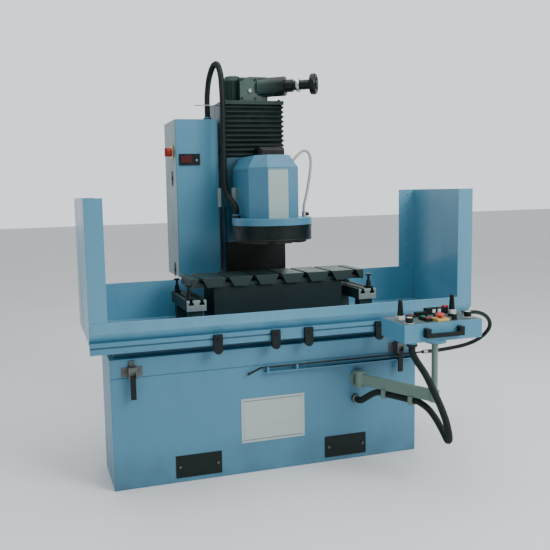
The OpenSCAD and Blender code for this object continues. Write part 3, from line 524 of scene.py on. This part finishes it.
cap_screws("front_plate_rivets", [(x, -0.292, z) for x in (-0.29, 0.06) for z in (0.181, 0.41)],
           (0, -1, 0), 0.004, 0.0015, zinc, "machine", "steel")

# Toggle latches.
# Pressed zinc-plated catches that pull the front panel tight, with black coated levers.
fitted(eased("latch_plates", "latch_catches", dull_zinc, 0.001), "machine", "steel", "latch_plates")
lever_black = satin_black("lever_black", (10, 24, 23), 0.34)
for side in ("left", "right"):
    fitted(eased("latch_" + side, "latch_lever_" + side, lever_black, 0.0028, 3), "toggle_" + side,
           "black_plastic", "latch_" + side)

# Lance ledge and lance.
# A folded ledge with three slotted cradles; the lance is a black tube with a blackened nozzle.
fitted(eased("lance_rest", "lance_ledge", blue_enamel, 0.001), "machine", "paint", "lance_rest")
fitted(eased("lance", "lance_tube", satin_black("lance_black", (8, 22, 21), 0.3), 0.0005), "machine",
       "black_plastic", "lance")
nozzle_axis = Vector((-math.sin(math.radians(112)), 0, math.cos(math.radians(112))))
nozzle = turned([(0, 0), (0.0062, 0), (0.0062, 0.012), (0.0075, 0.013), (0.0075, 0.022), (0.0045, 0.03),
                 (0.0028, 0.03), (0.0028, 0.026), (0, 0.026)], 24)
bmesh.ops.transform(nozzle, verts=nozzle.verts, matrix=Matrix.Translation(
    Vector((-0.19, -0.312, 0.59)) + nozzle_axis * 0.052) @ turned_to(nozzle_axis))
fitted(standing("lance_nozzle", nozzle, black_screw), "machine", "steel")
ferrule = turned([(0.0095, 0), (0.0115, 0.001), (0.0115, 0.006), (0.0103, 0.008), (0.0118, 0.010),
                  (0.0103, 0.012), (0.0118, 0.014), (0.0103, 0.016), (0.0118, 0.018), (0.0118, 0.027),
                  (0.0095, 0.028)], 24)
bmesh.ops.transform(ferrule, verts=ferrule.verts,
                    matrix=Matrix.Translation((0.808, -0.312, 0.59)) @ turned_to((1, 0, 0)))
fitted(standing("hose_ferrule", ferrule, zinc), "machine", "steel")


# Splash tray, walls and dog rail.
# Folded and welded sheet in the same enamel, drawn lighter in the tray and walls as painted light; inside it
# is stained by coolant and grit.
def wet_enamel(name, colour):
    """The enamel inside the tray, streaked and dulled by coolant."""
    coat = Finish(name, Coat_Weight=0.15, Coat_Roughness=0.1)
    streak = coat.between(coat.noise(7, 6, (1, 1, 0.16), 0.6), 0.42, 0.75)
    spatter = coat.between(coat.noise(60, 5), 0.56, 0.72)
    cloud = coat.noise(1.7, 5)
    base = coat.mix(cloud, tint(*colour, 1.04), tint(*colour, 0.93))
    base = coat.mix(streak * 0.2, base, tint(44, 92, 110))
    base = coat.mix(spatter * 0.14, base, tint(96, 120, 122))
    return coat.give(Base_Color=base, Roughness=0.3 + streak * 0.2,
                     Normal=coat.bump(coat.noise(240, 2), 0.0005, 0.35))


# The tray and walls are drawn in a lighter blue than the bed, which is painted light: the same enamel where
# the light falls in the tray.
tray_enamel_painted_light = wet_enamel("tray_enamel_painted_light", (92, 151, 177))
fitted(eased("tray", "splash_tray", tray_enamel_painted_light, 0.0018), "table", "paint", "tray")
fitted(eased("splash_walls", "splash_wall_sheets", tray_enamel_painted_light, 0.0016), "table", "paint", "splash_walls")
fitted(eased("dog_rail", "trip_dog_rail", blue_enamel, 0.0012), "table", "paint", "dog_rail")
wall_screws = [(side * 1.046, 0.264, 1.06 + 0.055 * i) for side in (-1, 1) for i in range(9)]
cap_screws("splash_wall_screws", wall_screws, (0, -1, 0), 0.006, 0.004, zinc, "table", "steel")

# Trip dogs.
# Blackened steel blocks that reverse the table, each clamped in the groove by one screw.
for i in (1, 2, 3, 4):
    fitted(eased(f"dog_{i}", f"trip_dog_{i}", satin_black(f"dog_black_{i}", (8, 28, 27)), 0.003, 3),
           f"trip_dog_{i}", "dark_paint", f"dog_{i}")


# Work table and carriage.
# Grey iron: the slab's top and slots are ground bright, its sides and the carriage are painted.
def iron_finish(name, worn_height, spread, dark, ground):
    """Iron that is painted dark below and ground above a height."""
    iron = Finish(name)
    marks = iron.noise(150, 3, (0.06, 1, 1))
    pits = iron.noise(420, 2)
    stain = iron.between(iron.noise(8, 6), 0.45, 0.75)
    bare = iron.between((iron.along(2) - worn_height) / spread, 0.4, 0.6)
    steel = iron.mix(stain * 0.6, iron.mix(marks, ground, tint(50, 74, 70)), tint(34, 54, 50))
    painted = iron.mix(stain * 0.5, dark, tint(14, 34, 33))
    return iron.give(Base_Color=iron.mix(bare, painted, steel), Metallic=bare * 0.75,
                     Roughness=0.5 - bare * 0.12 + marks * 0.1,
                     Normal=iron.bump(pits * (1 - bare) + marks * bare * 0.5, 0.0006, 0.45))


table_iron = iron_finish("table_iron", 1.0705, 0.001, tint(12, 42, 42), tint(74, 98, 94))
fitted(eased("work_table", "slotted_table", table_iron, 0.0012), "table", "machine_iron", "work_table")
# The carriage is drawn in dark teal, which is painted shade: its blue paint as it looks in the shade under the
# table.
fitted(eased("carriage", "table_carriage", satin_black("carriage_painted_shade", (5, 38, 42), 0.5), 0.004), "table",
       "machine_iron", "carriage")

# Cross rails and screw jacks.
# Oil-darkened iron rails with T-slots and bright sawn ends, on feet; star knobs on the jacks.
rail = Finish("rail_iron", Specular_IOR_Level=0.4)
ends = rail.between(rail.away(1, 0), 0.1985, 0.1988)
ends = ends * rail.between(rail.along(2), 0.903, 0.9032)
oiled = rail.mix(rail.between(rail.noise(9, 6), 0.45, 0.75), tint(20, 42, 40), tint(46, 66, 62))
sawn = rail.noise(240, 3, (1, 1, 0.08))
sawn_tone = rail.mix(sawn, tint(168, 180, 178), tint(120, 136, 134))
rail_iron = rail.give(Base_Color=rail.mix(ends, oiled, sawn_tone),
                      Metallic=ends * 0.6, Roughness=0.46 - ends * 0.08 + sawn * 0.1,
                      Normal=rail.bump(sawn, 0.0004, 0.4))
fitted(eased("cross_rails", "ground_cross_rails", rail_iron, 0.0014), "table", "steel", "cross_rails")
jack_black = satin_black("jack_black", (10, 24, 23), 0.36)
fitted(eased("work_jacks", "jack_bodies", jack_black, 0.001), "table", "black_plastic", "work_jacks")
knobs = bmesh.new()
for x in (-0.541, 0.541):
    for y in (-0.152, 0.152):
        for k in range(5):
            angle = math.tau * k / 5
            at = (x + 0.0125 * math.cos(angle), y + 0.0125 * math.sin(angle), 1.0415)
            bmesh.ops.create_cone(knobs, cap_ends=True, segments=16, radius1=0.0062, radius2=0.0055,
                                  depth=0.0085, matrix=Matrix.Translation(at))
bmesh.ops.bevel(knobs, geom=[e for e in knobs.edges if e.calc_face_angle(0) > 1], offset=0.0012, segments=2,
                profile=0.5, affect="EDGES", material=-1)
fitted(standing("jack_star_knobs", knobs, jack_black), "table", "black_plastic")


# Traverse drive.
# Gear motor, bearing blocks and a ground ball screw, hidden between the bed and the tray.
drive_green = satin_black("drive_green", (26, 60, 56), 0.45)
fitted(eased("traverse_motor", "traverse_gear_motor", drive_green, 0.002), "machine", "motor_paint",
       "traverse_motor")
screw_steel = bright_steel("screw_steel", 200, 0.22, (1, 1, 1), 90)
fitted(eased("traverse_screw", "traverse_ball_screw", screw_steel, 0.001), "traverse_shaft", "steel",
       "traverse_screw")


# Column.
# Cast box, filled and sprayed, with ground guide rails and a thick plate bolted on top.
# The column's enamel is a much darker blue than the bed's, which is painted shade: the blue as it looks in
# shade.
column_enamel_painted_shade = enamel("column_enamel_painted_shade", (32, 74, 90))
column = eased("column", "cast_column", column_enamel_painted_shade, 0.005, 3)
column.data.materials.append(drive_green)
for face in column.data.polygons:
    face.material_index = int(face.center.z > 2.066)
fitted(column, "machine", "column_paint", "column")
plate_screws = [(x, y, 2.09) for x in (-0.172, 0.172) for y in (0.31, 0.46, 0.64)]
cap_screws("top_plate_screws", plate_screws, (0, 0, 1), 0.009, 0.009, black_screw, "machine", "steel")

# Bellows.
# Coated cloth folded in deep pleats over stiff frames, round the front and sides of the rails.
def pleated_cloth():
    """The bellows' cloth: a fine weave, dull folds and grey dust in patches."""
    cloth = Finish("bellows_cloth", Specular_IOR_Level=0.35)
    weave = (cloth.node("ShaderNodeTexWave", {"wave_type": "BANDS", "bands_direction": "X"},
                        {"Vector": cloth.place(), "Scale": 260.0})
             * cloth.node("ShaderNodeTexWave", {"wave_type": "BANDS", "bands_direction": "Z"},
                          {"Vector": cloth.place(), "Scale": 260.0}))
    dust = cloth.between(cloth.noise(22, 6), 0.45, 0.75)
    base = cloth.mix(cloth.noise(6, 4), tint(7, 31, 29), tint(3, 20, 19))
    return cloth.give(Base_Color=cloth.mix(dust * 0.12, base, tint(52, 78, 73)),
                      Roughness=0.52 + dust * 0.2, Normal=cloth.bump(weave, 0.0005, 0.4))


BELLOWS_TOP, BELLOWS_FOOT, PLEATS, HEM = 2.067, 1.748, 11, 0.004
slope = ((BELLOWS_TOP - BELLOWS_FOOT - 0.002) / PLEATS - HEM) / 2
valley = Vector((0.1805 / 0.1935, 0.0245 / 0.0375, 1))
crest = Vector((1 / valley.x, 1 / valley.y, 1))
at_rails = Matrix.Translation((0, -0.3185, 0))
bellows_mesh = bmesh.new()
corners = [(-0.1805, 0.3185), (-0.1805, 0.294), (0.1805, 0.294), (0.1805, 0.3185)]
line_verts = [bellows_mesh.verts.new((x, y, BELLOWS_FOOT + 0.001)) for x, y in corners]
line_edges = [bellows_mesh.edges.new(pair) for pair in zip(line_verts, line_verts[1:])]
for rise, spread in ((slope, crest), (HEM, None), (slope, valley)) * PLEATS:
    grown = bmesh.ops.extrude_edge_only(bellows_mesh, edges=line_edges)["geom"]
    line_verts = [v for v in grown if isinstance(v, bmesh.types.BMVert)]
    line_edges = [e for e in grown if isinstance(e, bmesh.types.BMEdge)]
    bmesh.ops.translate(bellows_mesh, verts=line_verts, vec=(0, 0, rise))
    if spread:
        bmesh.ops.scale(bellows_mesh, verts=line_verts, vec=spread, space=at_rails)
bmesh.ops.recalc_face_normals(bellows_mesh, faces=bellows_mesh.faces)
bellows = standing("bellows_cloth_pleats", bellows_mesh, pleated_cloth())
folds = bellows.modifiers.new("folds", "BEVEL")
folds.width = 0.0014
folds.segments = 2
cloth_wall = bellows.modifiers.new("cloth", "SOLIDIFY")
cloth_wall.thickness = 0.0012
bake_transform(bellows)
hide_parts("bellows")


# Head feed drive.
# Finned motor, bevel case and handwheel sleeve, all in dark machine green, on the top plate.
feed_case = eased("feed_drive", "head_feed_case", drive_green, 0.004, 3)
feed_case.data.materials.append(satin_black("bevel_box_green", (64, 92, 86), 0.4))
feed_case.data.materials.append(satin_black("sleeve_black", (10, 24, 22), 0.34))
SLEEVE_X = 0.0951
for face in feed_case.data.polygons:
    if face.center.x > SLEEVE_X:
        face.material_index = 2
    else:
        face.material_index = int(face.center.x > -0.0281 and face.center.y < 0.4201)
fitted(feed_case, "machine", "motor_paint", "feed_drive")
fins = bmesh.new()
for k in range(20):
    angle = math.tau * k / 20
    place = (Matrix.Translation((-0.098, 0.405, 2.156)) @ Matrix.Rotation(angle, 4, "Z")
             @ Matrix.Translation((0.0655, 0, 0)) @ Matrix.Diagonal((0.009, 0.004, 0.108, 1)))
    bmesh.ops.create_cube(fins, size=1, matrix=place)
bmesh.ops.bevel(fins, geom=fins.edges, offset=0.0012, segments=2, profile=0.5, affect="EDGES", material=-1)
fitted(standing("feed_motor_fins", fins, drive_green), "machine", "motor_paint")
fitted(eased("feed_screw", "head_feed_screw", screw_steel, 0.0008), "feed_shaft", "steel", "feed_screw")
case_screws = [(x, 0.296, z) for x in (-0.07, 0.015) for z in (2.105, 2.216)]
cap_screws("feed_case_screws", case_screws, (0, -1, 0), 0.007, 0.006, black_screw, "machine", "steel")
cap_screws("feed_case_plug", [(-0.02, 0.296, 2.15)], (0, -1, 0), 0.012, 0.008, zinc, "machine", "steel")

# Handwheel.
# Black moulded rim on a steel hub, with a graduated dial ring of satin chrome.
grip_black = satin_black("grip_black", (8, 24, 23), 0.36)
fitted(eased("handwheel", "feed_handwheel", grip_black, 0.0012), "feed_wheel", "black_plastic", "handwheel")
feed_axis = (Matrix.Translation((0, 0.36, 2.172)) @ Matrix.Rotation(math.radians(-35), 4, "Z")
             @ turned_to((1, 0, 0)))
dial = turned([(0.036, 0), (0.0405, 0.0005), (0.0415, 0.002), (0.0415, 0.016), (0.0375, 0.0195),
               (0.030, 0.02)], 48)
bmesh.ops.transform(dial, verts=dial.verts, matrix=feed_axis @ Matrix.Translation((0, 0, 0.298)))
fitted(standing("feed_dial", dial, bright_steel("dial_chrome", 205, 0.2, (1, 1, 1), 40)), "machine", "steel")


# Head.
# Scraped slide with its guide carriages, the casting, and the black cover over the rails below.
# The slide shares the column's enamel, whose darker blue is painted shade.
fitted(eased("head_slide", "head_slide_casting", column_enamel_painted_shade, 0.002), "head", "column_paint", "head_slide")
lower_black = satin_black("lower_black", (5, 14, 13), 0.4)
fitted(eased("way_cover", "rail_cover", lower_black, 0.0025, 3), "head", "dark_paint", "way_cover")
fitted(eased("spindle_motor", "spindle_motor_body", drive_green, 0.003), "head", "motor_paint",
       "spindle_motor")
fitted(eased("spindle_housing", "spindle_cartridge", bright_steel("cartridge_steel", 184, 0.28), 0.001),
       "head", "steel", "spindle_housing")

# Cowl.
# Folded and welded sheet over the spindle motor, with a pale blank panel on its front.
cowl_enamel = enamel("cowl_enamel", (72, 127, 154), shine=0.3)
fitted(eased("cowl", "motor_cowl", cowl_enamel, 0.0022, 3, 12), "head", "paint", "cowl")
PANEL_Z = 1.5235
panel = eased_slab((-0.002, -0.1258, PANEL_Z), (0.118, 0.0018, 0.285), 0.0008)
pale = Finish("pale_panel", Coat_Weight=0.2)
sheen = pale.noise(3, 4)
frame_line = pale.between(pale.away(2, PANEL_Z), 0.134, 0.1342)
pale_tone = pale.mix(sheen, tint(164, 184, 180), tint(146, 170, 168))
pale_panel = pale.give(Base_Color=pale.mix(frame_line, pale_tone, tint(104, 140, 156)),
                       Roughness=0.36 + sheen * 0.12, Normal=pale.bump(pale.noise(300, 2), 0.0004, 0.3))
fitted(standing("cowl_panel", panel, pale_panel), "head", "plate_label")
cowl_screws = [(side * 0.15, y, z) for side in (-1, 1) for y in (0.02, 0.13, 0.24) for z in (1.4, 1.66)]
for side, axis in ((-1, (-1, 0, 0)), (1, (1, 0, 0))):
    cap_screws("cowl_screws_" + ("left", "right")[side > 0],
               [p for p in cowl_screws if p[0] * side > 0], axis, 0.006, 0.004, dull_zinc, "head", "steel")
cover = slab((0.065, 0.206, 1.776), (0.17, 0.112, 0.062))
bmesh.ops.bevel(cover, geom=[e for e in cover.edges if (e.verts[0].co.z + e.verts[1].co.z) / 2 > 1.76],
                offset=0.022, segments=5, profile=0.5, affect="EDGES", material=-1)
fitted(standing("motor_terminal_box", cover, lower_black), "head", "dark_paint")

# Splash plate and wheel guard.
# A turned plate in enamel carries a rolled guard ring in black, with a rubber drip lip.
fitted(eased("splash_plate", "round_splash_plate", cowl_enamel, 0.0016, 2, 25), "head", "paint",
       "splash_plate")
guard_black = satin_black("guard_black", (2, 22, 21), 0.38)
fitted(eased("wheel_guard", "wheel_guard_ring", guard_black, 0.0016, 2, 25), "head", "dark_paint",
       "wheel_guard")
lip = turned([(0.2278, 0), (0.2296, 0.0008), (0.2296, 0.0078), (0.2278, 0.0085)], 96)
bmesh.ops.transform(lip, verts=lip.verts, matrix=Matrix.Translation((0, 0, 1.2645)))
fitted(standing("guard_lip", lip, rubber), "head", "hose_rubber")
guard_screws = [(0.2276 * math.cos(a), 0.2276 * math.sin(a), 1.337)
                for a in (math.radians(15 + 30 * k) for k in range(12))]
guard_bolts = bmesh.new()
for at in guard_screws:
    cap_screw(guard_bolts, at, Vector((at[0], at[1], 0)).normalized(), 0.0055, 0.0035)
fitted(standing("guard_screws", guard_bolts, black_screw), "head", "steel")

# Spindle and segments.
# Ground steel wheel head that carries a ring of vitrified abrasive segments.
fitted(eased("spindle", "spindle_and_wheel_head", bright_steel("spindle_steel", 190, 0.24), 0.0012), "wheel",
       "steel", "spindle")
grit = Finish("vitrified_grit", Roughness=0.9, Specular_IOR_Level=0.2)
cells = grit.node("ShaderNodeTexVoronoi", {}, {"Vector": grit.place(), "Scale": 420.0})
pores = grit.between(cells, 0.2, 0.6)
grit_tone = grit.mix(grit.noise(25, 5), tint(70, 70, 66), tint(52, 54, 50))
grit_stone = grit.give(Base_Color=grit.mix(pores, grit_tone, tint(74, 74, 68)),
                       Normal=grit.bump(pores, 0.0008, 0.7))
fitted(eased("segments", "abrasive_segments", grit_stone, 0.002), "wheel", "abrasive", "segments")

# Coolant line, tap and head fittings.
# Grey ribbed hose from the cowl's socket down to a small plated tap with a black knob.
line_grey = Finish("line_grey", Roughness=0.45)
line_tone = line_grey.mix(line_grey.noise(40, 4), tint(196, 200, 196), tint(150, 156, 152))
line_plastic = line_grey.give(Base_Color=line_tone,
                              Normal=line_grey.bump(line_grey.noise(500, 2), 0.0003, 0.3))
line_curve = smooth_route([(137, 10, 1715), (148, 10, 1722), (176, 10, 1750), (206, 10, 1771),
                           (236, 10, 1762), (252, 10, 1724), (251, 10, 1670), (241, 10, 1600),
                           (227, 10, 1530), (213, 10, 1475), (207, 10, 1448), (206, 10, 1433),
                           (206, 10, 1418)], 6)
fitted(standing("coolant_spiral_line",
                laid_along(turned(ribbed(route_length(line_curve), 0.0085, 0.0074, 0.0048), 16), line_curve),
                line_plastic), "head", "coolant_plastic", "coolant_line")
fitted(eased("tap_body", "head_fittings_pale", bright_steel("fitting_grey", 196, 0.4), 0.001), "head", "steel",
       "tap_body")
fitted(eased("coolant_tap", "coolant_tap_knob", grip_black, 0.0015, 3), "tap_knob", "black_plastic",
       "coolant_tap")


# Conduit supports.
# Two pale plastic plates by the foot of the head's conduit, and a bright rod beside its loop.
pale_plastic = Finish("pale_plastic", Specular_IOR_Level=0.35)
cream = pale_plastic.give(Base_Color=pale_plastic.mix(pale_plastic.noise(18, 5), tint(172, 188, 180),
                                                      tint(136, 156, 150)),
                          Roughness=0.5 + pale_plastic.noise(220, 2) * 0.1)
supports = bmesh.new()
for x, y, wide in ((-0.2215, 0.278, 0.043), (-0.165, 0.2, 0.027)):
    bmesh.ops.create_cube(supports, size=1, matrix=Matrix.Translation((x, y, 1.5085))
                          @ Matrix.Diagonal((wide, 0.003, 0.113, 1)))
bmesh.ops.bevel(supports, geom=[e for e in supports.edges if abs((e.verts[0].co - e.verts[1].co).y) > 0.002],
                offset=0.006, segments=3, profile=0.5, affect="EDGES", material=-1)
fitted(standing("conduit_support_plates", supports, cream), "head", "coolant_plastic")
rod = turned([(0, 0), (0.0028, 0.0002), (0.003, 0.0008), (0.003, 0.1412), (0.0028, 0.142), (0, 0.1422)], 16)
bmesh.ops.transform(rod, verts=rod.verts,
                    matrix=Matrix.Translation((-0.336, 0.444, 2.079)) @ turned_to((1, 0, 0)))
fitted(standing("conduit_rod", rod, zinc), "machine", "steel")


# Electrical cabinet.
# Folded sheet shell with a side door held by two quarter-turn locks, and screwed cable glands.
cabinet_enamel = enamel("cabinet_enamel", (76, 136, 163))
fitted(eased("cabinet", "cabinet_shell", cabinet_enamel, 0.0016), "machine", "paint", "cabinet")
# The side door is drawn in a greyer blue than the cabinet, which is painted light: the same enamel as the
# light falls on its left side.
door_painted_light_enamel = enamel("cabinet_door_painted_light_enamel", (88, 122, 130))
fitted(eased("cabinet_door", "cabinet_side_door", door_painted_light_enamel, 0.0012), "door", "paint", "cabinet_door")
fitted(eased("door_locks", "quarter_turn_locks", black_screw, 0.0012), "door", "black_plastic", "door_locks")
for place, height in (("low", 1.061), ("high", 1.633)):
    oblong = eased_slab((-0.4856, 0.465, height), (0.0012, 0.03, 0.09), 0.0005)
    fitted(standing(f"door_lock_plate_{place}", oblong, lower_black), "door", "black_plastic")
gland_nut = turned([(0.0255, 0), (0.0268, 0.0006), (0.0268, 0.012), (0.0255, 0.0126)], 12)
for at, axis, carrier in (((-0.245, 0.47, 1.989), (0, 0, 1), "machine"),
                          ((-0.19, 0.078, 1.3925), (0, 0, 1), "head"),
                          ((0.382, -0.2965, 0.355), (0, -1, 0), "machine"),
                          ((0.47, -0.745, 0.758), (0, 0, -1), "box")):
    part = gland_nut.copy()
    bmesh.ops.transform(part, verts=part.verts, matrix=Matrix.Translation(at) @ turned_to(axis))
    fitted(standing(f"gland_nut_{len(bpy.data.objects)}", part, black_screw), carrier, "black_plastic")
gland_nut.free()

# Main switch and panel meter.
# A red rotary handle on a yellow plate, and a black-bezelled meter with a dark red window.
red_gloss = Finish("red_gloss", Coat_Weight=0.3, Coat_Roughness=0.1)
red_tone = red_gloss.mix(red_gloss.noise(30, 4), tint(196, 34, 32), tint(164, 22, 24))
red_plastic = red_gloss.give(Base_Color=red_tone,
                             Roughness=0.3 + red_gloss.noise(200, 3) * 0.15)
fitted(eased("main_switch", "main_switch_handle", red_plastic, 0.002, 3), "isolator", "red_plastic",
       "main_switch")
yellow = Finish("yellow_plate", Roughness=0.42)
yellow_plate = yellow.give(Base_Color=yellow.mix(yellow.noise(20, 4), tint(232, 196, 44), tint(212, 172, 34)))
switch_plate = eased_slab((-0.4855, 0.455, 1.793), (0.0012, 0.082, 0.082), 0.0005)
fitted(standing("main_switch_plate", switch_plate, yellow_plate), "door", "yellow_plate")
bezel_black = satin_black("bezel_black", (14, 28, 30), 0.3)
fitted(eased("panel_meter", "meter_bezel", bezel_black, 0.0015), "machine", "black_plastic", "panel_meter")
window = slab((-0.416, 0.3415, 1.745), (0.07, 0.0012, 0.04))
smoked = Finish("smoked_red", Roughness=0.08, Coat_Weight=0.5)
smoked_red = smoked.give(Base_Color=smoked.mix(smoked.noise(15, 3), tint(92, 26, 30), tint(60, 16, 22)))
fitted(standing("meter_window", window, smoked_red), "machine", "red_plastic")
cap_screws("meter_button", [(-0.354, 0.342, 1.738)], (0, -1, 0), 0.007, 0.004, zinc, "machine", "steel")


# Arm bracket and swinging arm.
# Box-section arm in grey-beige enamel, on a pin in the bracket, with the post welded upright.
arm_enamel = enamel("arm_enamel", (110, 134, 124), shine=0.4)
fitted(eased("arm_bracket", "arm_pivot_bracket", arm_enamel, 0.0015), "machine", "arm_paint", "arm_bracket")
fitted(eased("control_arm", "swinging_arm", arm_enamel, 0.0015), "arm", "arm_paint", "control_arm")

# Control box.
# Folded box in enamel with a hammered grey panel let into its top, and a moulded bow handle.
box_enamel = enamel("box_enamel", (78, 138, 166))
fitted(eased("control_box", "control_box_shell", box_enamel, 0.0018), "box", "paint", "control_box")
moulded_black = satin_black("moulded_black", (8, 24, 23), 0.36)
fitted(eased("box_fittings", "handle_and_bezels", moulded_black, 0.0022, 3), "box", "black_plastic",
       "box_fittings")
BOX_TOP = 0.869
sheet_top = bmesh.new()
bmesh.ops.create_cube(sheet_top, size=1, matrix=Matrix.Translation((0.6175, -0.685, BOX_TOP + 0.0004))
                      @ Matrix.Diagonal((0.437, 0.222, 0.0012, 1)))
hammer = Finish("hammered_grey", Metallic=0.35)
flecks = hammer.between(hammer.noise(420, 4, rough=0.7), 0.42, 0.62)
panel_grey = hammer.give(Base_Color=hammer.mix(flecks, tint(44, 70, 72), tint(98, 118, 116)),
                         Roughness=0.4 + flecks * 0.2, Normal=hammer.bump(flecks, 0.0004, 0.5))
fitted(standing("control_panel_sheet", sheet_top, panel_grey), "box", "arm_paint")


def panel_piece(name, kind, places, size, colour, body="box", slot="black_plastic", gloss=0.35):
    """A set of small moulded panel fittings: square plates or round caps, with eased rims."""
    bm = bmesh.new()
    for x, y, z in places:
        if kind == "square":
            bmesh.ops.create_cube(bm, size=1, matrix=Matrix.Translation((x, y, z + size[1] / 2))
                                  @ Matrix.Diagonal((size[0], size[0], size[1], 1)))
        else:
            bmesh.ops.create_cone(bm, cap_ends=True, segments=28, radius1=size[0], radius2=size[0] * size[2],
                                  depth=size[1], matrix=Matrix.Translation((x, y, z + size[1] / 2)))
    bmesh.ops.bevel(bm, geom=[e for e in bm.edges if e.calc_face_angle(0) > 0.6], offset=min(size[:2]) * 0.12,
                    segments=2, profile=0.5, affect="EDGES", material=-1)
    finish = Finish(name)
    mottle = finish.noise(60, 4)
    moulded = finish.give(Base_Color=finish.mix(mottle, tint(*colour), tint(*(c * 0.84 for c in colour))),
                          Roughness=gloss + mottle * 0.12)
    return fitted(standing(name, bm, moulded), body, slot)


WHITE, BLACK = (212, 218, 214), (20, 28, 28)
panel_piece("stick_skirts", "square", [(0.45, -0.665, BOX_TOP), (0.79, -0.612, BOX_TOP)],
            (0.0355, 0.0225), WHITE)
panel_piece("knob_skirts", "round", [(0.44, -0.768, BOX_TOP), (0.8, -0.735, BOX_TOP)],
            (0.0235, 0.0042, 1), WHITE)
panel_piece("spare_buttons", "square", [(0.53, -0.632, BOX_TOP), (0.67, -0.668, BOX_TOP)],
            (0.036, 0.012), BLACK)
panel_piece("spare_button_caps", "round", [(0.53, -0.632, BOX_TOP + 0.012), (0.67, -0.668, BOX_TOP + 0.012)],
            (0.012, 0.006, 0.9), (150, 52, 50))
panel_piece("lamp_caps", "square", [(0.686, -0.5965, BOX_TOP + 0.0085), (0.718, -0.5965, BOX_TOP + 0.0085)],
            (0.021, 0.02), WHITE)
panel_piece("lamp_button", "square", [(0.7645, -0.5865, BOX_TOP)], (0.026, 0.042), (206, 38, 48),
            slot="red_plastic")

# Joysticks, knobs and push buttons.
# Moulded black grips on ribbed gaiters; coloured caps in black bezels; a red mushroom stop.
for side, x, y in (("left", 0.45, -0.665), ("right", 0.79, -0.612)):
    fitted(eased("joystick_" + side, "joystick_stem_" + side, grip_black, 0.0008), "stick_" + side,
           "black_plastic", "joystick_" + side)
    folds = [(0.0172 - 0.0007 * k - 0.0018 * (step % 2), 0.003 * (2 * k + step))
             for k in range(7) for step in (0, 1)]
    boot = turned(folds, 32)
    bmesh.ops.transform(boot, verts=boot.verts, matrix=Matrix.Translation((x, y, BOX_TOP + 0.0225)))
    gaiter = standing("joystick_gaiter_" + side, boot, rubber)
    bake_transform(gaiter)
for side, x, y, radius in (("left", 0.44, -0.768, 0.019), ("mid", 0.7, -0.765, 0.013),
                           ("right", 0.8, -0.735, 0.019)):
    fitted(eased("knob_" + side, "knob_body_" + side, grip_black, 0.0012, 3), "dial_" + side, "black_plastic",
           "knob_" + side)
    panel_piece("knob_cap_" + side, "round", [(x, y, BOX_TOP + 0.0298)], (radius * 0.78, 0.0014, 0.96), WHITE,
                "dial_" + side, "steel", 0.25)
green_gloss = Finish("green_gloss", Coat_Weight=0.3, Coat_Roughness=0.1)
green_plastic = green_gloss.give(Base_Color=green_gloss.mix(green_gloss.noise(40, 4), tint(34, 140, 100),
                                                            tint(22, 108, 78)),
                                 Roughness=0.3 + green_gloss.noise(200, 3) * 0.1)
fitted(eased("start_button", "start_cap", green_plastic, 0.0022, 3), "button_start", "green_plastic",
       "start_button")
fitted(eased("stop_button", "stop_cap", red_plastic, 0.0022, 3), "button_stop", "red_plastic", "stop_button")
fitted(eased("estop", "emergency_stop", red_plastic, 0.003, 3), "button_estop", "red_plastic", "estop")
panel_piece("estop_base", "square", [(0.625, -0.755, BOX_TOP)], (0.068, 0.0125), (226, 186, 90))
